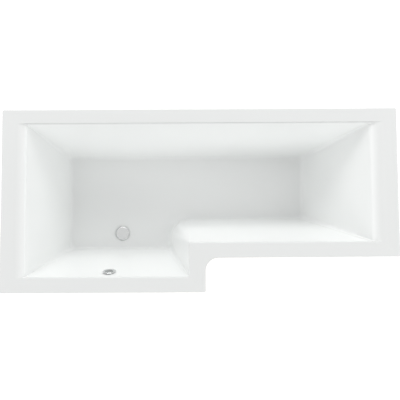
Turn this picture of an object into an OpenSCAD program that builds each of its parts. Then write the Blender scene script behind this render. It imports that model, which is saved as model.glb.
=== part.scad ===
// L-shaped acrylic shower bath: moulded shell, glass-fibre backing, baseboard, timber
// rim frame, cradle legs with screw feet, click-clack waste and a ribbed overflow hose.
// X runs along the bath with the showering end at -X, +Y is the wall side, and Z is up
// from the floor that the feet stand on.

/* [Bath outline] */
// Overall length
bath_l = 1700; // [1500:10:1800]
// Overall width across the showering end
bath_w = 785; // [740:5:900]
// Overall width of the bathing part
bath_n = 640; // [600:5:700]
// Length of the wide showering end
wide_l = 873; // [800:1:950]
// Height of the rim above the room's floor
rim_h = 560; // [530:5:600]
// Depth from the rim down to the basin floor
basin_d = 400; // [360:5:410]
// Thickness of the acrylic
shell_t = 5; // [3:0.5:6]
// Depth of the turned-down lip
lip_h = 38; // [30:1:45]
// Radius of the outer top edge
edge_r = 6; // [3:0.5:9]
// Plan radius of the outer corners
outline_r = 7; // [6.5:0.5:20]
// Plan radius of the fillet in the step
step_r = 55; // [30:1:70]

/* [Rim and basin] */
// Width of the flat rim at the back
rim_back = 60; // [56:1:75]
// Width of the flat rim along both fronts
rim_front = 63; // [56:1:75]
// Width of the flat rim at the step
rim_step = 68; // [60:1:80]
// Width of the flat rim at the showering end
rim_left = 67; // [60:1:80]
// Width of the flat rim at the bathing end
rim_right = 60; // [56:1:75]
// Fall of the flat rim towards the basin
rim_fall = 2; // [0.5:0.5:4]
// Width of the sloping shelf inside the showering end
shelf_left = 36; // [20:1:45]
// Drop of that shelf
shelf_drop = 7; // [3:1:12]
// Width of the rolled head rest at the bathing end
roll_right = 50; // [35:1:60]
// Drop of that head rest
roll_drop = 11; // [6:1:16]
// How far the head rest bulges above a straight slope
roll_crown = 3; // [1:0.5:5]
// Width of the narrow land inside the other rims
land_w = 3; // [2:0.5:6]
// Plan run of the back wall
run_back = 91; // [70:1:110]
// Plan run of the front wall at the showering end
run_front = 100; // [70:1:110]
// Plan run of the wall at the step
run_step = 104; // [80:1:115]
// Plan run of the front wall at the bathing part
run_narrow = 104; // [70:1:115]
// Plan run of the wall at the showering end
run_left = 85; // [60:1:110]
// Plan run of the sloping back rest
run_right = 217; // [180:1:240]
// Size of the edge round between rim and walls
brink = 2; // [1:0.5:4]
// Size of the round between walls and floor
cove = 16; // [8:1:22]
// Plan radius of the basin corners at the rim
top_r = 3; // [2:0.5:20]
// Plan radius of the basin corners at the floor
floor_r = 26; // [12:1:40]
// Plan radius of the step's corner at the floor
step_floor_r = 90; // [40:1:92]
// Fall of the long floor towards the wide end
floor_fall = 7; // [2:1:12]
// Fall of the wide end's floor to the waste
waste_fall = 3; // [1:0.5:5]

/* [Backing and timber] */
// Thickness of the glass-fibre backing
grp_t = 3; // [2:0.5:5]
// Bond line left between bonded layers
bond = 0.3; // [0.2:0.1:0.5]
// How far below the rim the backing starts
grp_drop = 50; // [44:1:80]
// Thickness of the baseboard
board_t = 18; // [12:1:22]
// Distance of the baseboard's edge inside the floor's edge
board_inset = 15; // [8:1:30]
// Half width of the baseboard's waste notch
notch_r = 58; // [50:1:64]
// Width of the rim battens
batten_w = 40; // [30:1:42]
// Height of the rim battens
batten_t = 20; // [15:1:24]
// Gap between the lip and the battens
batten_gap = 3; // [2:0.5:5]

/* [Legs] */
// Left cradle bar's distance from the showering end
bar_left = 290; // [250:5:300]
// Right cradle bar's distance from the bathing end
bar_right = 465; // [450:5:520]
// Width of a cradle bar
bar_w = 40; // [30:1:50]
// Height of a cradle bar
bar_h = 22; // [18:1:28]
// Sheet thickness of the bars and plates
bar_t = 2; // [1.5:0.5:3]
// Distance of the outer feet inside the outline
foot_inset = 90; // [85:1:110]
// How far a bar runs on past its foot
bar_end = 28; // [22:1:36]
// Centre foot's distance from the step along the bath
centre_x = 90; // [70:5:120]
// Diameter of a foot's stud
stud_d = 10; // [8:1:12]
// Length of stud left above its nuts when a foot is screwed right out
stud_spare = 10; // [4:1:14]
// Diameter of a foot pad
pad_d = 46; // [36:1:55]
// Height of a foot pad
pad_h = 14; // [10:1:18]
// How far a foot screws out
foot_travel = 30; // [15:1:40]
// Running clearance of the screws and the plunger
run_fit = 0.06; // [0.04:0.01:0.08]
// Length of the centre foot's threaded sleeve
sleeve_l = 52; // [45:1:56]
// Side of the centre foot's square plate
plate_w = 90; // [76:1:110]
// Wall brackets' distance from the middle of the bath
bracket_x = 480; // [380:10:560]
// Width of a wall bracket
bracket_w = 52; // [44:1:70]
// Height of a wall bracket's upright
bracket_h = 44; // [36:1:56]
// Radius of a wall bracket's screw holes
bracket_hole_r = 3; // [2:0.5:3.5]
// Distance between a wall bracket's two holes
bracket_pitch = 28; // [20:1:32]

/* [Waste] */
// Waste's distance from the showering end
waste_x = 453; // [420:1:480]
// Waste's distance from the wide front's edge
waste_y = 243; // [235:1:280]
// Diameter of the hole in the floor
waste_hole = 52; // [50:1:54]
// Diameter of the waste's flange
flange_d = 68; // [64:1:74]
// Thickness of the flange
flange_t = 2.5; // [2:0.5:4]
// Depth of the moulded recess round the waste
recess_d = 4; // [3.6:0.2:6]
// Radius of the waste's thread below the flange
barrel_r = 22; // [20:0.5:23]
// Length of that thread
barrel_l = 22; // [18:1:24]
// Bore radius of the waste
throat_r = 19.5; // [17:0.5:20]
// Thread radius of the outlet tail, 1 1/2 inch pipe
tail_r = 23.9; // [20:0.1:26]
// Length of the outlet tail
tail_l = 24; // [18:1:30]
// Length of the waste body's chamber
chamber_l = 46; // [44:1:52]
// Wall of the plastic fittings
fitting_t = 3; // [2.5:0.5:5]
// Diameter of the plug's cap
cap_d = 63; // [56:1:66]
// Thickness of the plug's cap
cap_t = 3; // [2:0.5:5]
// Travel of the plug
plug_travel = 8; // [5:1:9]
// Radius of the plug's plunger
plunger_r = 3.5; // [3:0.5:4]
// Length of the click-clack cartridge
cartridge_l = 32; // [30:1:34]
// Turns of the plug's spring
spring_n = 6; // [4:1:7]
// Wire diameter of the plug's spring
spring_wire = 0.9; // [0.7:0.1:1]

/* [Overflow] */
// Drop of the overflow's centre below the rim
overflow_drop = 60; // [58:1:75]
// Diameter of the overflow's face
face_d = 57; // [50:1:62]
// Thickness of the overflow's face
face_t = 2.5; // [2:0.5:4]
// Open gap behind the face
face_gap = 4.5; // [3:0.5:7]
// Radius of the overflow hole
overflow_r = 20; // [16:0.5:22]
// Depth of the elbow behind the wall
elbow_l = 24; // [22:1:26]
// Outer radius of the ribbed hose
hose_r = 12; // [10:0.5:13]
// Depth of the hose's ribs
rib_h = 1.8; // [1:0.1:2.2]
// Pitch of the hose's ribs
rib_pitch = 8; // [7:0.5:10]
// Bore radius of the hose
hose_bore = 8.5; // [7:0.5:9]
// Bend radius of the hose
hose_bend = 96; // [90:1:100]
// Length of a hose nut
nut_l = 24; // [20:1:28]
// Thickness of the rubber seals
seal_t = 3; // [2:0.5:4]

/* [Hidden] */
$fn = 64;
arc_n = 6;                       // facets in each corner's quarter arc
step_x = -bath_l / 2 + wide_l;   // the step's outer face
narrow_y = bath_w / 2 - bath_n;  // the narrow front's outer face
floor_z = rim_h - basin_d;
wall_bend = 30;                  // stand-in length of the floor beyond a wall in its profile
min_r = 0.8;

// The six sides, counter-clockwise from above: left, wide front, step, narrow front,
// right and back. Corner c stands at the start of side c, and corner 3 is the step's.
rim_w = [rim_left, rim_front, rim_step, rim_front, rim_right, rim_back];
shelf_w = [shelf_left, land_w, land_w, land_w, roll_right, land_w];
shelf_h = [shelf_drop, land_w / 3, land_w / 3, land_w / 3, roll_drop, land_w / 3];
crown_h = [0, 0, 0, 0, roll_crown, 0];
wall_run = [run_left, run_front, run_step, run_narrow, run_right, run_back];
arrive = [[-1, 0], [0, -1], [1, 0], [0, 1], [1, 0], [0, 1]];
leave = [[0, -1], [1, 0], [0, 1], [1, 0], [0, 1], [-1, 0]];

function unit(v) = v / norm(v);
function right_of(d) = [d.y, -d.x];
function half_tan(a, b) = sqrt(max(0, (1 - a * b) / (1 + a * b)));
function mix(a, b, t) = a * (1 - t) + b * t;
function curve(a, v, b, t) = a * (1 - t) * (1 - t) + v * 2 * t * (1 - t) + b * t * t;

// A side's section as a polyline of [inset, height]: lip, rim, shelf, wall and floor.
function section(j) =
    let (brow = [rim_w[j] + shelf_w[j], rim_h - rim_fall - shelf_h[j]])
    [[0, rim_h - lip_h], [0, rim_h], [rim_w[j], rim_h - rim_fall], brow,
     [brow.x + wall_run[j], floor_z], [brow.x + wall_run[j] + wall_bend, floor_z]];

// The section moved t to its hidden side, with mitred corners.
function shifted(q, t) = [for (k = [0 : len(q) - 1])
    let (n1 = right_of(unit(k > 0 ? q[k] - q[k - 1] : q[1] - q[0])),
         n2 = right_of(unit(k < len(q) - 1 ? q[k + 1] - q[k] : q[k] - q[k - 1])))
    q[k] + t * (n1 + n2) / (1 + n1 * n2)];

// A corner v between a and b rounded with tangent length c, sampled at the given places.
function rounded(a, v, b, c, at) =
    [for (t = at) curve(v + unit(a - v) * c, v, v + unit(b - v) * c, t)];

// The 13 stations of side j at depth t in the sheet: 0 lip, 1-3 outer edge, 4 rim's inner
// edge, 5 shelf, 6-8 brink, 9-12 cove. Outward rounds shrink with depth, the cove grows.
function stations(j, t) =
    let (q = shifted(section(j), t),
         turn = half_tan(unit(q[3] - q[2]), unit(q[4] - q[3])),
         heel = half_tan(unit(q[4] - q[3]), [1, 0]),
         rim_in = [min(q[2].x, q[3].x - land_w / 2), q[2].y],
         edge = rounded(q[0], q[1], rim_in, max(min_r, edge_r - t), [0, 0.5, 1]),
         brow = rounded(rim_in, q[3], q[4], max(min_r / 2, brink - t * turn), [0, 0.5, 1]),
         foot = rounded(q[3], q[4], q[5], cove + t * heel, [0, 1 / 3, 2 / 3, 1]))
    concat([q[0]], edge, [rim_in, (rim_in + brow[0]) / 2 + [0, crown_h[j]]], brow, foot);

function plan_radius(k, c) =
    c == 3 ? (k < 4 ? step_r : k < 9 ? top_r : step_floor_r)
           : (k < 4 ? outline_r : k < 9 ? top_r : floor_r);

function corner(s, c) =
    [c < 2 ? -bath_l / 2 + s[0] : c < 4 ? step_x - s[2] : bath_l / 2 - s[4],
     c == 0 || c == 5 ? bath_w / 2 - s[5] : c < 3 ? -bath_w / 2 + s[1] : narrow_y + s[3]];

// Where the sloping long floor starts: level with the step wall's foot.
split_x = step_x - stations(2, 0)[12].x;
floor_end = bath_l / 2 - stations(4, 0)[12].x;
function long_fall(x) = floor_fall * max(0, x - split_x) / (floor_end - split_x);

// Ring k of the sheet at depth t: the outline through that station on all six sides.
// flat is how far the floor stations are set down level, or -1 to keep the long fall.
function ring(k, t, flat = -1) =
    let (at = [for (j = [0 : 5]) stations(j, t)[k]],
         face = [for (j = [0 : 5]) stations(j, 0)[k]],
         s = [for (a = at) a.x])
    concat([for (c = [0 : 5])
        let (p = (c + 5) % 6,
             sunk = (s[p] + s[c] - face[p].x - face[c].x) / 2,
             r = max(min_r, plan_radius(k, c) + (c == 3 ? sunk : -sunk)),
             v = corner(s, c),
             o = v + r * (leave[c] - arrive[c]))
        for (i = [0 : arc_n])
        let (a = 90 * i / arc_n,
             xy = o - r * leave[c] * cos(a) + r * arrive[c] * sin(a))
        [xy.x, xy.y, fallen(mix(at[p].y, at[c].y, i / arc_n), xy.x, k, flat)]],
        [[split_x, bath_w / 2 - s[5], fallen(at[5].y, split_x, k, flat)]]);
function fallen(z, x, k, flat) = k < 9 ? z : flat < 0 ? z + long_fall(x) : z - flat;

ring_n = 6 * (arc_n + 1) + 1;
bend = 3 * (arc_n + 1);    // index of the first point of the step's corner
waste_at = [-bath_l / 2 + waste_x, -bath_w / 2 + waste_y];
waste_z = floor_z - waste_fall;

// Faces between neighbouring rings, and across a ring: a fan round the waste in the wide
// end and a fan from the back edge over the long floor.
function band(a, b) = [for (i = [0 : ring_n - 1])
    let (n = (i + 1) % ring_n)
    each [[a + i, b + i, a + n], [a + n, b + i, b + n]]];
function cap_faces(a, hub) = concat(
    [[hub, a + ring_n - 1, a]],
    [for (i = [0 : bend - 1]) [hub, a + i, a + i + 1]],
    [[hub, a + bend, a + ring_n - 1]],
    [for (i = [bend : ring_n - 3]) [a + ring_n - 1, a + i, a + i + 1]]);
function turned(faces) = [for (f = faces) [f[0], f[2], f[1]]];

// A closed skin from rings listed from its outer edge over the basin side and back
// underneath: m rings in each half, with a hub point for each floor.
module skin(upper, lower, hub_top, hub_under) {
    m = len(upper);
    rings = concat(upper, lower);
    points = concat([for (r = rings) each r], [hub_top, hub_under]);
    faces = concat(
        [for (k = [0 : m - 2]) each band(k * ring_n, (k + 1) * ring_n)],
        turned(cap_faces((m - 1) * ring_n, m * 2 * ring_n)),
        [for (k = [m : 2 * m - 2]) each turned(band(k * ring_n, (k + 1) * ring_n))],
        cap_faces((2 * m - 1) * ring_n, m * 2 * ring_n + 1),
        turned(band(0, m * ring_n)));
    polyhedron(points, faces, convexity = 6);
}

// The overflow's place on the wide front wall, and the wall's lean from upright.
wide_wall = section(1);
wall_dir = unit(wide_wall[4] - wide_wall[3]);
lean = atan2(wall_dir.x, -wall_dir.y);
overflow_z = rim_h - overflow_drop;
overflow_y = -bath_w / 2 + wide_wall[3].x + (wide_wall[3].y - overflow_z) * tan(lean);
module at_overflow() {
    translate([waste_at.x, overflow_y, overflow_z])
        rotate([lean - 90, 0, 0])
            children();
}

recess_r = flange_d / 2 + 1.2;
boss_r = recess_r + shell_t;
recess_z = waste_z - recess_d;
boss_z = recess_z - shell_t;
back_z = shell_t + bond + grp_t;    // depth of the backing's outer face in the sheet

// ---- Bath ----

module bath_shell() {
    color("white")
    difference() {
        union() {
            skin([for (k = [0 : 12]) ring(k, 0)], [for (k = [0 : 12]) ring(k, shell_t)],
                 [waste_at.x, waste_at.y, waste_z],
                 [waste_at.x, waste_at.y, waste_z - shell_t]);
            translate([waste_at.x, waste_at.y, boss_z])
                cylinder(r = boss_r, h = recess_d + shell_t / 2);
        }
        translate([waste_at.x, waste_at.y, recess_z])
            cylinder(r = recess_r, h = cove);
        translate([waste_at.x, waste_at.y, boss_z - 1])
            cylinder(d = waste_hole, h = cove);
        at_overflow()
            cylinder(r = overflow_r, h = 6 * shell_t, center = true);
    }
}

// The backing follows the sheet's underside from grp_drop below the rim, and is level
// underneath so that the baseboard lies flat.
grp_start = (stations(5, shell_t)[8].y - (rim_h - grp_drop)) / (rim_h - grp_drop - floor_z) * 0.9;
module grp_reinforcement() {
    inner = shell_t + bond;
    color("palegoldenrod")
    difference() {
        skin(
            concat([mix(ring(8, inner), ring(9, inner), grp_start)],
                   [for (k = [9 : 12]) ring(k, inner)]),
            concat([mix(ring(8, back_z), ring(9, back_z, waste_fall), grp_start)],
                   [for (k = [9 : 12]) ring(k, back_z, waste_fall)]),
            [waste_at.x, waste_at.y, waste_z - inner],
            [waste_at.x, waste_at.y, waste_z - back_z]);
        translate([waste_at.x, waste_at.y, boss_z - grp_t])
            cylinder(r = boss_r + 1, h = cove);
        at_overflow()
            cylinder(r = overflow_r, h = 6 * back_z, center = true);
    }
}

board_top = waste_z - back_z - bond;
board_bottom = board_top - board_t;
function floor_in(j) = stations(j, 0)[12].x + board_inset;
board_pts = [
    [-bath_l / 2 + floor_in(0), bath_w / 2 - floor_in(5)],
    [-bath_l / 2 + floor_in(0), -bath_w / 2 + floor_in(1)],
    [step_x - floor_in(2), -bath_w / 2 + floor_in(1)],
    [step_x - floor_in(2), narrow_y + floor_in(3)],
    [bath_l / 2 - floor_in(4), narrow_y + floor_in(3)],
    [bath_l / 2 - floor_in(4), bath_w / 2 - floor_in(5)]];
pilot_r = 2;
screw_r = 1.9;
screw_l = 14;
module baseboard() {
    color("burlywood")
    difference() {
        translate([0, 0, board_bottom])
            linear_extrude(board_t)
                difference() {
                    polygon(board_pts);
                    translate(waste_at)
                        circle(r = notch_r);
                    translate([waste_at.x - notch_r, -bath_w / 2])
                        square([2 * notch_r, waste_y]);
                }
        for (p = board_screws_at)
            translate([p.x, p.y, board_bottom - 1])
                cylinder(r = pilot_r, h = screw_l + 2);
    }
}

// ---- Rim frame ----

batten_in = shell_t + batten_gap;
batten_top = rim_h - shell_t - rim_fall - bond;
module batten(x0, x1, y0, y1) {
    color("wheat")
        translate([x0, y0, batten_top - batten_t])
            cube([x1 - x0, y1 - y0, batten_t]);
}
frame_l = -bath_l / 2 + batten_in;
frame_r = bath_l / 2 - batten_in;
frame_b = bath_w / 2 - batten_in;
frame_f = -bath_w / 2 + batten_in;
frame_n = narrow_y + batten_in;
frame_s = step_x - batten_in;
module batten_back() {
    color("wheat")
    difference() {
        batten(frame_l, frame_r, frame_b - batten_w, frame_b);
        for (x = bracket_at, side = [-1, 1])
            translate([x + side * bracket_pitch / 2, bracket_screw_y, batten_top - batten_t - 1])
                cylinder(r = pilot_r, h = screw_l + 2);
    }
}
module batten_left() { batten(frame_l, frame_l + batten_w, frame_f, frame_b - batten_w - bond); }
module batten_right() { batten(frame_r - batten_w, frame_r, frame_n, frame_b - batten_w - bond); }
module batten_front_wide() { batten(frame_l + batten_w + bond, frame_s, frame_f, frame_f + batten_w); }
module batten_step() {
    batten(frame_s - batten_w, frame_s, frame_f + batten_w + bond, frame_n + batten_w);
}
module batten_front_narrow() {
    batten(frame_s + bond, frame_r - batten_w - bond, frame_n, frame_n + batten_w);
}

// ---- Legs ----

bar_top = board_bottom;
bar_bottom = bar_top - bar_h;
bar_xs = [-bath_l / 2 + bar_left, bath_l / 2 - bar_right];
back_foot_y = bath_w / 2 - foot_inset;
front_foot_y = [-bath_w / 2 + foot_inset, narrow_y + foot_inset];
centre_at = [step_x - centre_x, (narrow_y + bath_w / 2) / 2];
feet_at = [
    [bar_xs[0], front_foot_y[0]], [bar_xs[0], back_foot_y],
    [bar_xs[1], front_foot_y[1]], [bar_xs[1], back_foot_y], centre_at];
board_front_y = [-bath_w / 2 + floor_in(1), narrow_y + floor_in(3)];
board_back_y = bath_w / 2 - floor_in(5);
screw_edge = 25;
plate_screw = plate_w / 2 - 12;
bar_screws_at = [for (i = [0, 1], y = [board_front_y[i] + screw_edge, board_back_y - screw_edge])
    [bar_xs[i], y]];
plate_screws_at = [for (sx = [-1, 1], sy = [-1, 1]) centre_at + plate_screw * [sx, sy]];
board_screws_at = concat(bar_screws_at, plate_screws_at);
bore_r = stud_d / 2 + run_fit;
nut_h = 0.8 * stud_d;
nut_af = 1.7 * stud_d;

// A folded channel, open below, with its web against the baseboard.
module cradle_bar(i) {
    y0 = front_foot_y[i] - bar_end;
    y1 = back_foot_y + bar_end;
    color("silver")
    difference() {
        translate([bar_xs[i], y1, bar_top])
            rotate([90, 0, 0])
                linear_extrude(y1 - y0)
                    polygon([[-bar_w / 2, 0], [bar_w / 2, 0], [bar_w / 2, -bar_h],
                             [bar_w / 2 - bar_t, -bar_h], [bar_w / 2 - bar_t, -bar_t],
                             [bar_t - bar_w / 2, -bar_t], [bar_t - bar_w / 2, -bar_h],
                             [-bar_w / 2, -bar_h]]);
        for (y = [front_foot_y[i], back_foot_y])
            translate([bar_xs[i], y, bar_bottom - 1])
                cylinder(r = bore_r, h = bar_h + 2);
        for (k = [0, 1])
            translate([bar_xs[i], bar_screws_at[2 * i + k].y, bar_bottom - 1])
                cylinder(r = pilot_r + 0.3, h = bar_h + 2);
    }
}
module leg_bar_left() { cradle_bar(0); }
module leg_bar_right() { cradle_bar(1); }

module centre_leg() {
    color("silver")
    difference() {
        union() {
            translate([centre_at.x - plate_w / 2, centre_at.y - plate_w / 2, bar_top - bar_t])
                cube([plate_w, plate_w, bar_t]);
            translate([centre_at.x, centre_at.y, bar_top - sleeve_l])
                cylinder(r = stud_d / 2 + 3.5, h = sleeve_l);
        }
        translate([centre_at.x, centre_at.y, bar_top - sleeve_l - 1])
            cylinder(r = bore_r, h = sleeve_l + 2);
        for (p = plate_screws_at)
            translate([p.x, p.y, bar_top - bar_t - 1])
                cylinder(r = pilot_r + 0.3, h = bar_t + 2);
    }
}

module wood_screw() {
    translate([0, 0, -2.4])
        cylinder(r1 = 2.6, r2 = 4, h = 1.4);
    translate([0, 0, -1])
        cylinder(r = 4, h = 1);
    cylinder(r = screw_r, h = screw_l - 3);
    translate([0, 0, screw_l - 3])
        cylinder(r1 = screw_r, r2 = 0.4, h = 3);
}
module board_screws() {
    color("silver")
        for (p = board_screws_at)
            translate([p.x, p.y, bar_top - bar_t])
                wood_screw();
}

module hex_nut() {
    difference() {
        cylinder(d = nut_af / cos(30), h = nut_h, $fn = 6);
        translate([0, 0, -1])
            cylinder(r = bore_r, h = nut_h + 2);
    }
}
module lock_nuts() {
    color("silver") {
        for (i = [0 : 3])
            for (z = [bar_top, bar_top - bar_t - nut_h])
                translate([feet_at[i].x, feet_at[i].y, z])
                    hex_nut();
        translate([centre_at.x, centre_at.y, bar_top - sleeve_l - nut_h])
            hex_nut();
    }
}

// A stud stands in its pad, with a spanner hex above the pad. The centre stud is short,
// because its sleeve ends at the baseboard.
pad_floor = 5;
function stud_end(i) = i < 4 ? bar_top + nut_h + foot_travel + stud_spare : bar_top - 1;
module foot_stud(i) {
    color("gray")
        translate([feet_at[i].x, feet_at[i].y, 0]) {
            translate([0, 0, pad_floor])
                cylinder(d = stud_d, h = stud_end(i) - pad_floor - 1);
            translate([0, 0, stud_end(i) - 1])
                cylinder(d1 = stud_d, d2 = stud_d - 2, h = 1);
            translate([0, 0, pad_h])
                cylinder(d = 1.3 * stud_d / cos(30), h = 6, $fn = 6);
        }
}
module foot_pad(i) {
    color("dimgray")
        translate([feet_at[i].x, feet_at[i].y, 0])
            difference() {
                rotate_extrude()
                    polygon([[0, 0], [pad_d / 2 - 1, 0], [pad_d / 2, 1], [pad_d / 2, 5],
                             [stud_d / 2 + 6, pad_h - 2], [stud_d / 2 + 5, pad_h], [0, pad_h]]);
                translate([0, 0, pad_floor])
                    cylinder(r = stud_d / 2 + 0.1, h = pad_h);
            }
}
module foot_stud_1() { foot_stud(0); }
module foot_stud_2() { foot_stud(1); }
module foot_stud_3() { foot_stud(2); }
module foot_stud_4() { foot_stud(3); }
module foot_stud_5() { foot_stud(4); }
module foot_pad_1() { foot_pad(0); }
module foot_pad_2() { foot_pad(1); }
module foot_pad_3() { foot_pad(2); }
module foot_pad_4() { foot_pad(3); }
module foot_pad_5() { foot_pad(4); }

// ---- Wall brackets ----

// A bent strip: a foot under the back batten, a drop behind the lip, and an upright
// that lies against the wall just below the lip.
bracket_at = [-bracket_x, bracket_x];
batten_z = batten_top - batten_t;
bracket_foot = 30;
bracket_screw_y = frame_b - bracket_foot / 2 - bar_t;
strip_out = bath_w / 2;
strip_z = rim_h - lip_h - 3;
module wall_bracket(i) {
    color("silver")
    difference() {
        translate([bracket_at[i] + bracket_w / 2, 0, 0])
            rotate([90, 0, -90])
                linear_extrude(bracket_w)
                    mirror([1, 0])
                        polygon([
                            [frame_b - bracket_foot, batten_z], [frame_b, batten_z],
                            [frame_b, strip_z], [strip_out, strip_z],
                            [strip_out, strip_z - bracket_h], [strip_out - bar_t, strip_z - bracket_h],
                            [strip_out - bar_t, strip_z - bar_t], [frame_b - bar_t, strip_z - bar_t],
                            [frame_b - bar_t, batten_z - bar_t],
                            [frame_b - bracket_foot, batten_z - bar_t]]);
        for (side = [-1, 1]) {
            translate([bracket_at[i] + side * bracket_pitch / 2, strip_out + 1, strip_z - bracket_h / 2])
                rotate([90, 0, 0])
                    cylinder(r = bracket_hole_r, h = bar_t + 2);
            translate([bracket_at[i] + side * bracket_pitch / 2, bracket_screw_y, batten_z - bar_t - 1])
                cylinder(r = pilot_r + 0.3, h = bar_t + 2);
        }
    }
}
module wall_bracket_left() { wall_bracket(0); }
module wall_bracket_right() { wall_bracket(1); }
module bracket_screws() {
    color("silver")
        for (x = bracket_at, side = [-1, 1])
            translate([x + side * bracket_pitch / 2, bracket_screw_y, batten_z - bar_t])
                wood_screw();
}

// ---- Waste ----

module at_waste(z) {
    translate([waste_at.x, waste_at.y, z])
        children();
}
module tube(r, bore, h) {
    difference() {
        cylinder(r = r, h = h);
        translate([0, 0, -1])
            cylinder(r = bore, h = h + 2);
    }
}
flange_seal_t = recess_d - flange_t;
flange_z = recess_z + flange_seal_t;
seat_r = throat_r + 4;
seat_d = 1;
spoke_h = 6;
spoke_w = 2;
spider_z = flange_z - 9;
hub_r = 9;
cartridge_r = 6;
module waste_flange() {
    throat_z = flange_t - seat_d;
    color("silver")
        at_waste(flange_z)
            difference() {
                union() {
                    rotate_extrude()
                        polygon([[barrel_r, -barrel_l], [barrel_r, 0], [flange_d / 2, 0],
                                 [flange_d / 2, flange_t - 1], [flange_d / 2 - 1, flange_t],
                                 [seat_r, flange_t], [throat_r + 2, throat_z], [throat_r, throat_z],
                                 [throat_r, -barrel_l]]);
                    translate([0, 0, spider_z - flange_z]) {
                        cylinder(r = hub_r, h = spoke_h);
                        for (a = [45:90:315])
                            rotate(a)
                                translate([hub_r - 1, -spoke_w / 2, 1])
                                    cube([throat_r - hub_r + 2, spoke_w, spoke_h - 2]);
                    }
                }
                translate([0, 0, -barrel_l])
                    cylinder(r = cartridge_r, h = barrel_l);
            }
}
module flange_seal() {
    color("dimgray")
        at_waste(recess_z)
            tube(flange_d / 2 - 1, barrel_r + 1, flange_seal_t);
}
module waste_seal() {
    color("dimgray")
        at_waste(boss_z - seal_t)
            tube(boss_r - 2, waste_hole / 2, seal_t);
}

body_top = boss_z - seal_t;
body_bottom = body_top - chamber_l;
body_r = barrel_r + run_fit + fitting_t;
inlet_z = body_bottom + fitting_t + hose_r + 8;
inlet_l = 62;
spigot_r = hose_bore + fitting_t;
module waste_body() {
    color("white")
    difference() {
        union() {
            at_waste(body_top - fitting_t)
                cylinder(r = boss_r - 2, h = fitting_t);
            at_waste(body_bottom)
                cylinder(r = body_r, h = chamber_l);
            at_waste(body_bottom - tail_l)
                cylinder(r = tail_r, h = tail_l + 1);
            at_waste(inlet_z)
                rotate([90, 0, 0])
                    cylinder(r = spigot_r, h = inlet_l);
        }
        at_waste(body_bottom + fitting_t)
            cylinder(r = barrel_r + run_fit, h = chamber_l);
        at_waste(body_bottom - tail_l - 1)
            cylinder(r = throat_r, h = tail_l + fitting_t + 2);
        at_waste(inlet_z)
            rotate([90, 0, 0])
                cylinder(r = hose_bore, h = inlet_l + 1);
    }
}

// The cartridge hangs in the flange's spider; the plunger slides in it over the spring.
plunger_bore = plunger_r + run_fit;
cartridge_top = spider_z + spoke_h + 2;
cartridge_z = cartridge_top - cartridge_l;
cartridge_floor = 2;
plug_z = flange_z + flange_t + 0.4 + plug_travel;   // underside of the cap when open
rod_end = cartridge_top - cartridge_l / 2 + 3;      // foot of the plunger when open
module waste_cartridge() {
    color("goldenrod")
    difference() {
        union() {
            at_waste(cartridge_z)
                cylinder(r = cartridge_r - 0.05, h = cartridge_l - 1);
            at_waste(spider_z + spoke_h)
                cylinder(d = 16 / cos(30), h = 2, $fn = 6);
        }
        at_waste(cartridge_z + cartridge_floor)
            cylinder(r = plunger_bore, h = cartridge_l);
    }
}
module plug_plunger() {
    color("goldenrod")
        at_waste(rod_end)
            cylinder(r = plunger_r, h = plug_z - rod_end);
}

// One unbroken wire wound round the axis, as rings of a swept hexagon.
coil_r = plunger_r - spring_wire / 2 - 0.1;
coil_z0 = cartridge_z + cartridge_floor + spring_wire / 2 + 0.05;
coil_z1 = rod_end - spring_wire / 2 - 0.05;
coil_n = spring_n * 8;
module plug_spring() {
    points = [for (i = [0 : coil_n], k = [0 : 5])
        let (a = 360 * i / 8,
             r = coil_r + spring_wire / 2 * cos(60 * k),
             z = mix(coil_z0, coil_z1, i / coil_n) + spring_wire / 2 * sin(60 * k))
        [waste_at.x + r * cos(a), waste_at.y + r * sin(a), z]];
    sides = [for (i = [0 : coil_n - 1], k = [0 : 5])
        let (n = (k + 1) % 6, a = 6 * i, b = 6 * i + 6)
        each [[a + k, a + n, b + k], [a + n, b + n, b + k]]];
    ends = [for (k = [1 : 4]) each [[0, k + 1, k], [6 * coil_n, 6 * coil_n + k, 6 * coil_n + k + 1]]];
    color("silver")
        polyhedron(points, concat(sides, ends), convexity = 4);
}
echo(least_gap_in_spring = (coil_z1 - coil_z0) / spring_n - spring_wire);

module plug_cap() {
    color("silver")
        at_waste(plug_z)
            rotate_extrude()
                polygon([[0, 0], [cap_d / 2 - 0.8, 0], [cap_d / 2, 0.8], [cap_d / 2 - 0.3, cap_t - 1.6],
                         [cap_d / 2 - 1.6, cap_t - 0.7], [cap_d / 2 - 5, cap_t - 0.2], [0, cap_t]]);
}
plug_seal_t = 1.2;
module plug_seal() {
    color("dimgray")
        at_waste(plug_z - plug_seal_t)
            tube(throat_r + 1.5, throat_r - 2.5, plug_seal_t);
}

// ---- Overflow ----

module overflow_face() {
    color("silver")
        at_overflow()
            difference() {
                union() {
                    translate([0, 0, face_gap])
                        rotate_extrude()
                            polygon([[0, 0], [face_d / 2 - 0.6, 0], [face_d / 2, 0.6],
                                     [face_d / 2 - 0.4, face_t - 1], [face_d / 2 - 2, face_t], [0, face_t]]);
                    translate([0, 0, -shell_t])
                        cylinder(r = face_stem_r, h = shell_t + face_gap + 1);
                }
                translate([0, 0, -shell_t - 1])
                    cylinder(r = face_screw_r + 0.2, h = shell_t + face_gap + 1);
            }
}
face_stem_r = 7;
face_screw_r = 3;
overflow_seal_z = -back_z - 0.2 - seal_t;    // back of the rubber on the backing's outer face
elbow_z = overflow_seal_z - fitting_t;
elbow_r = overflow_r + fitting_t;
elbow_flange_r = overflow_r + 7;
module overflow_seal() {
    color("dimgray")
        at_overflow()
            translate([0, 0, overflow_seal_z])
                tube(elbow_flange_r, overflow_r, seal_t);
}
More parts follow.
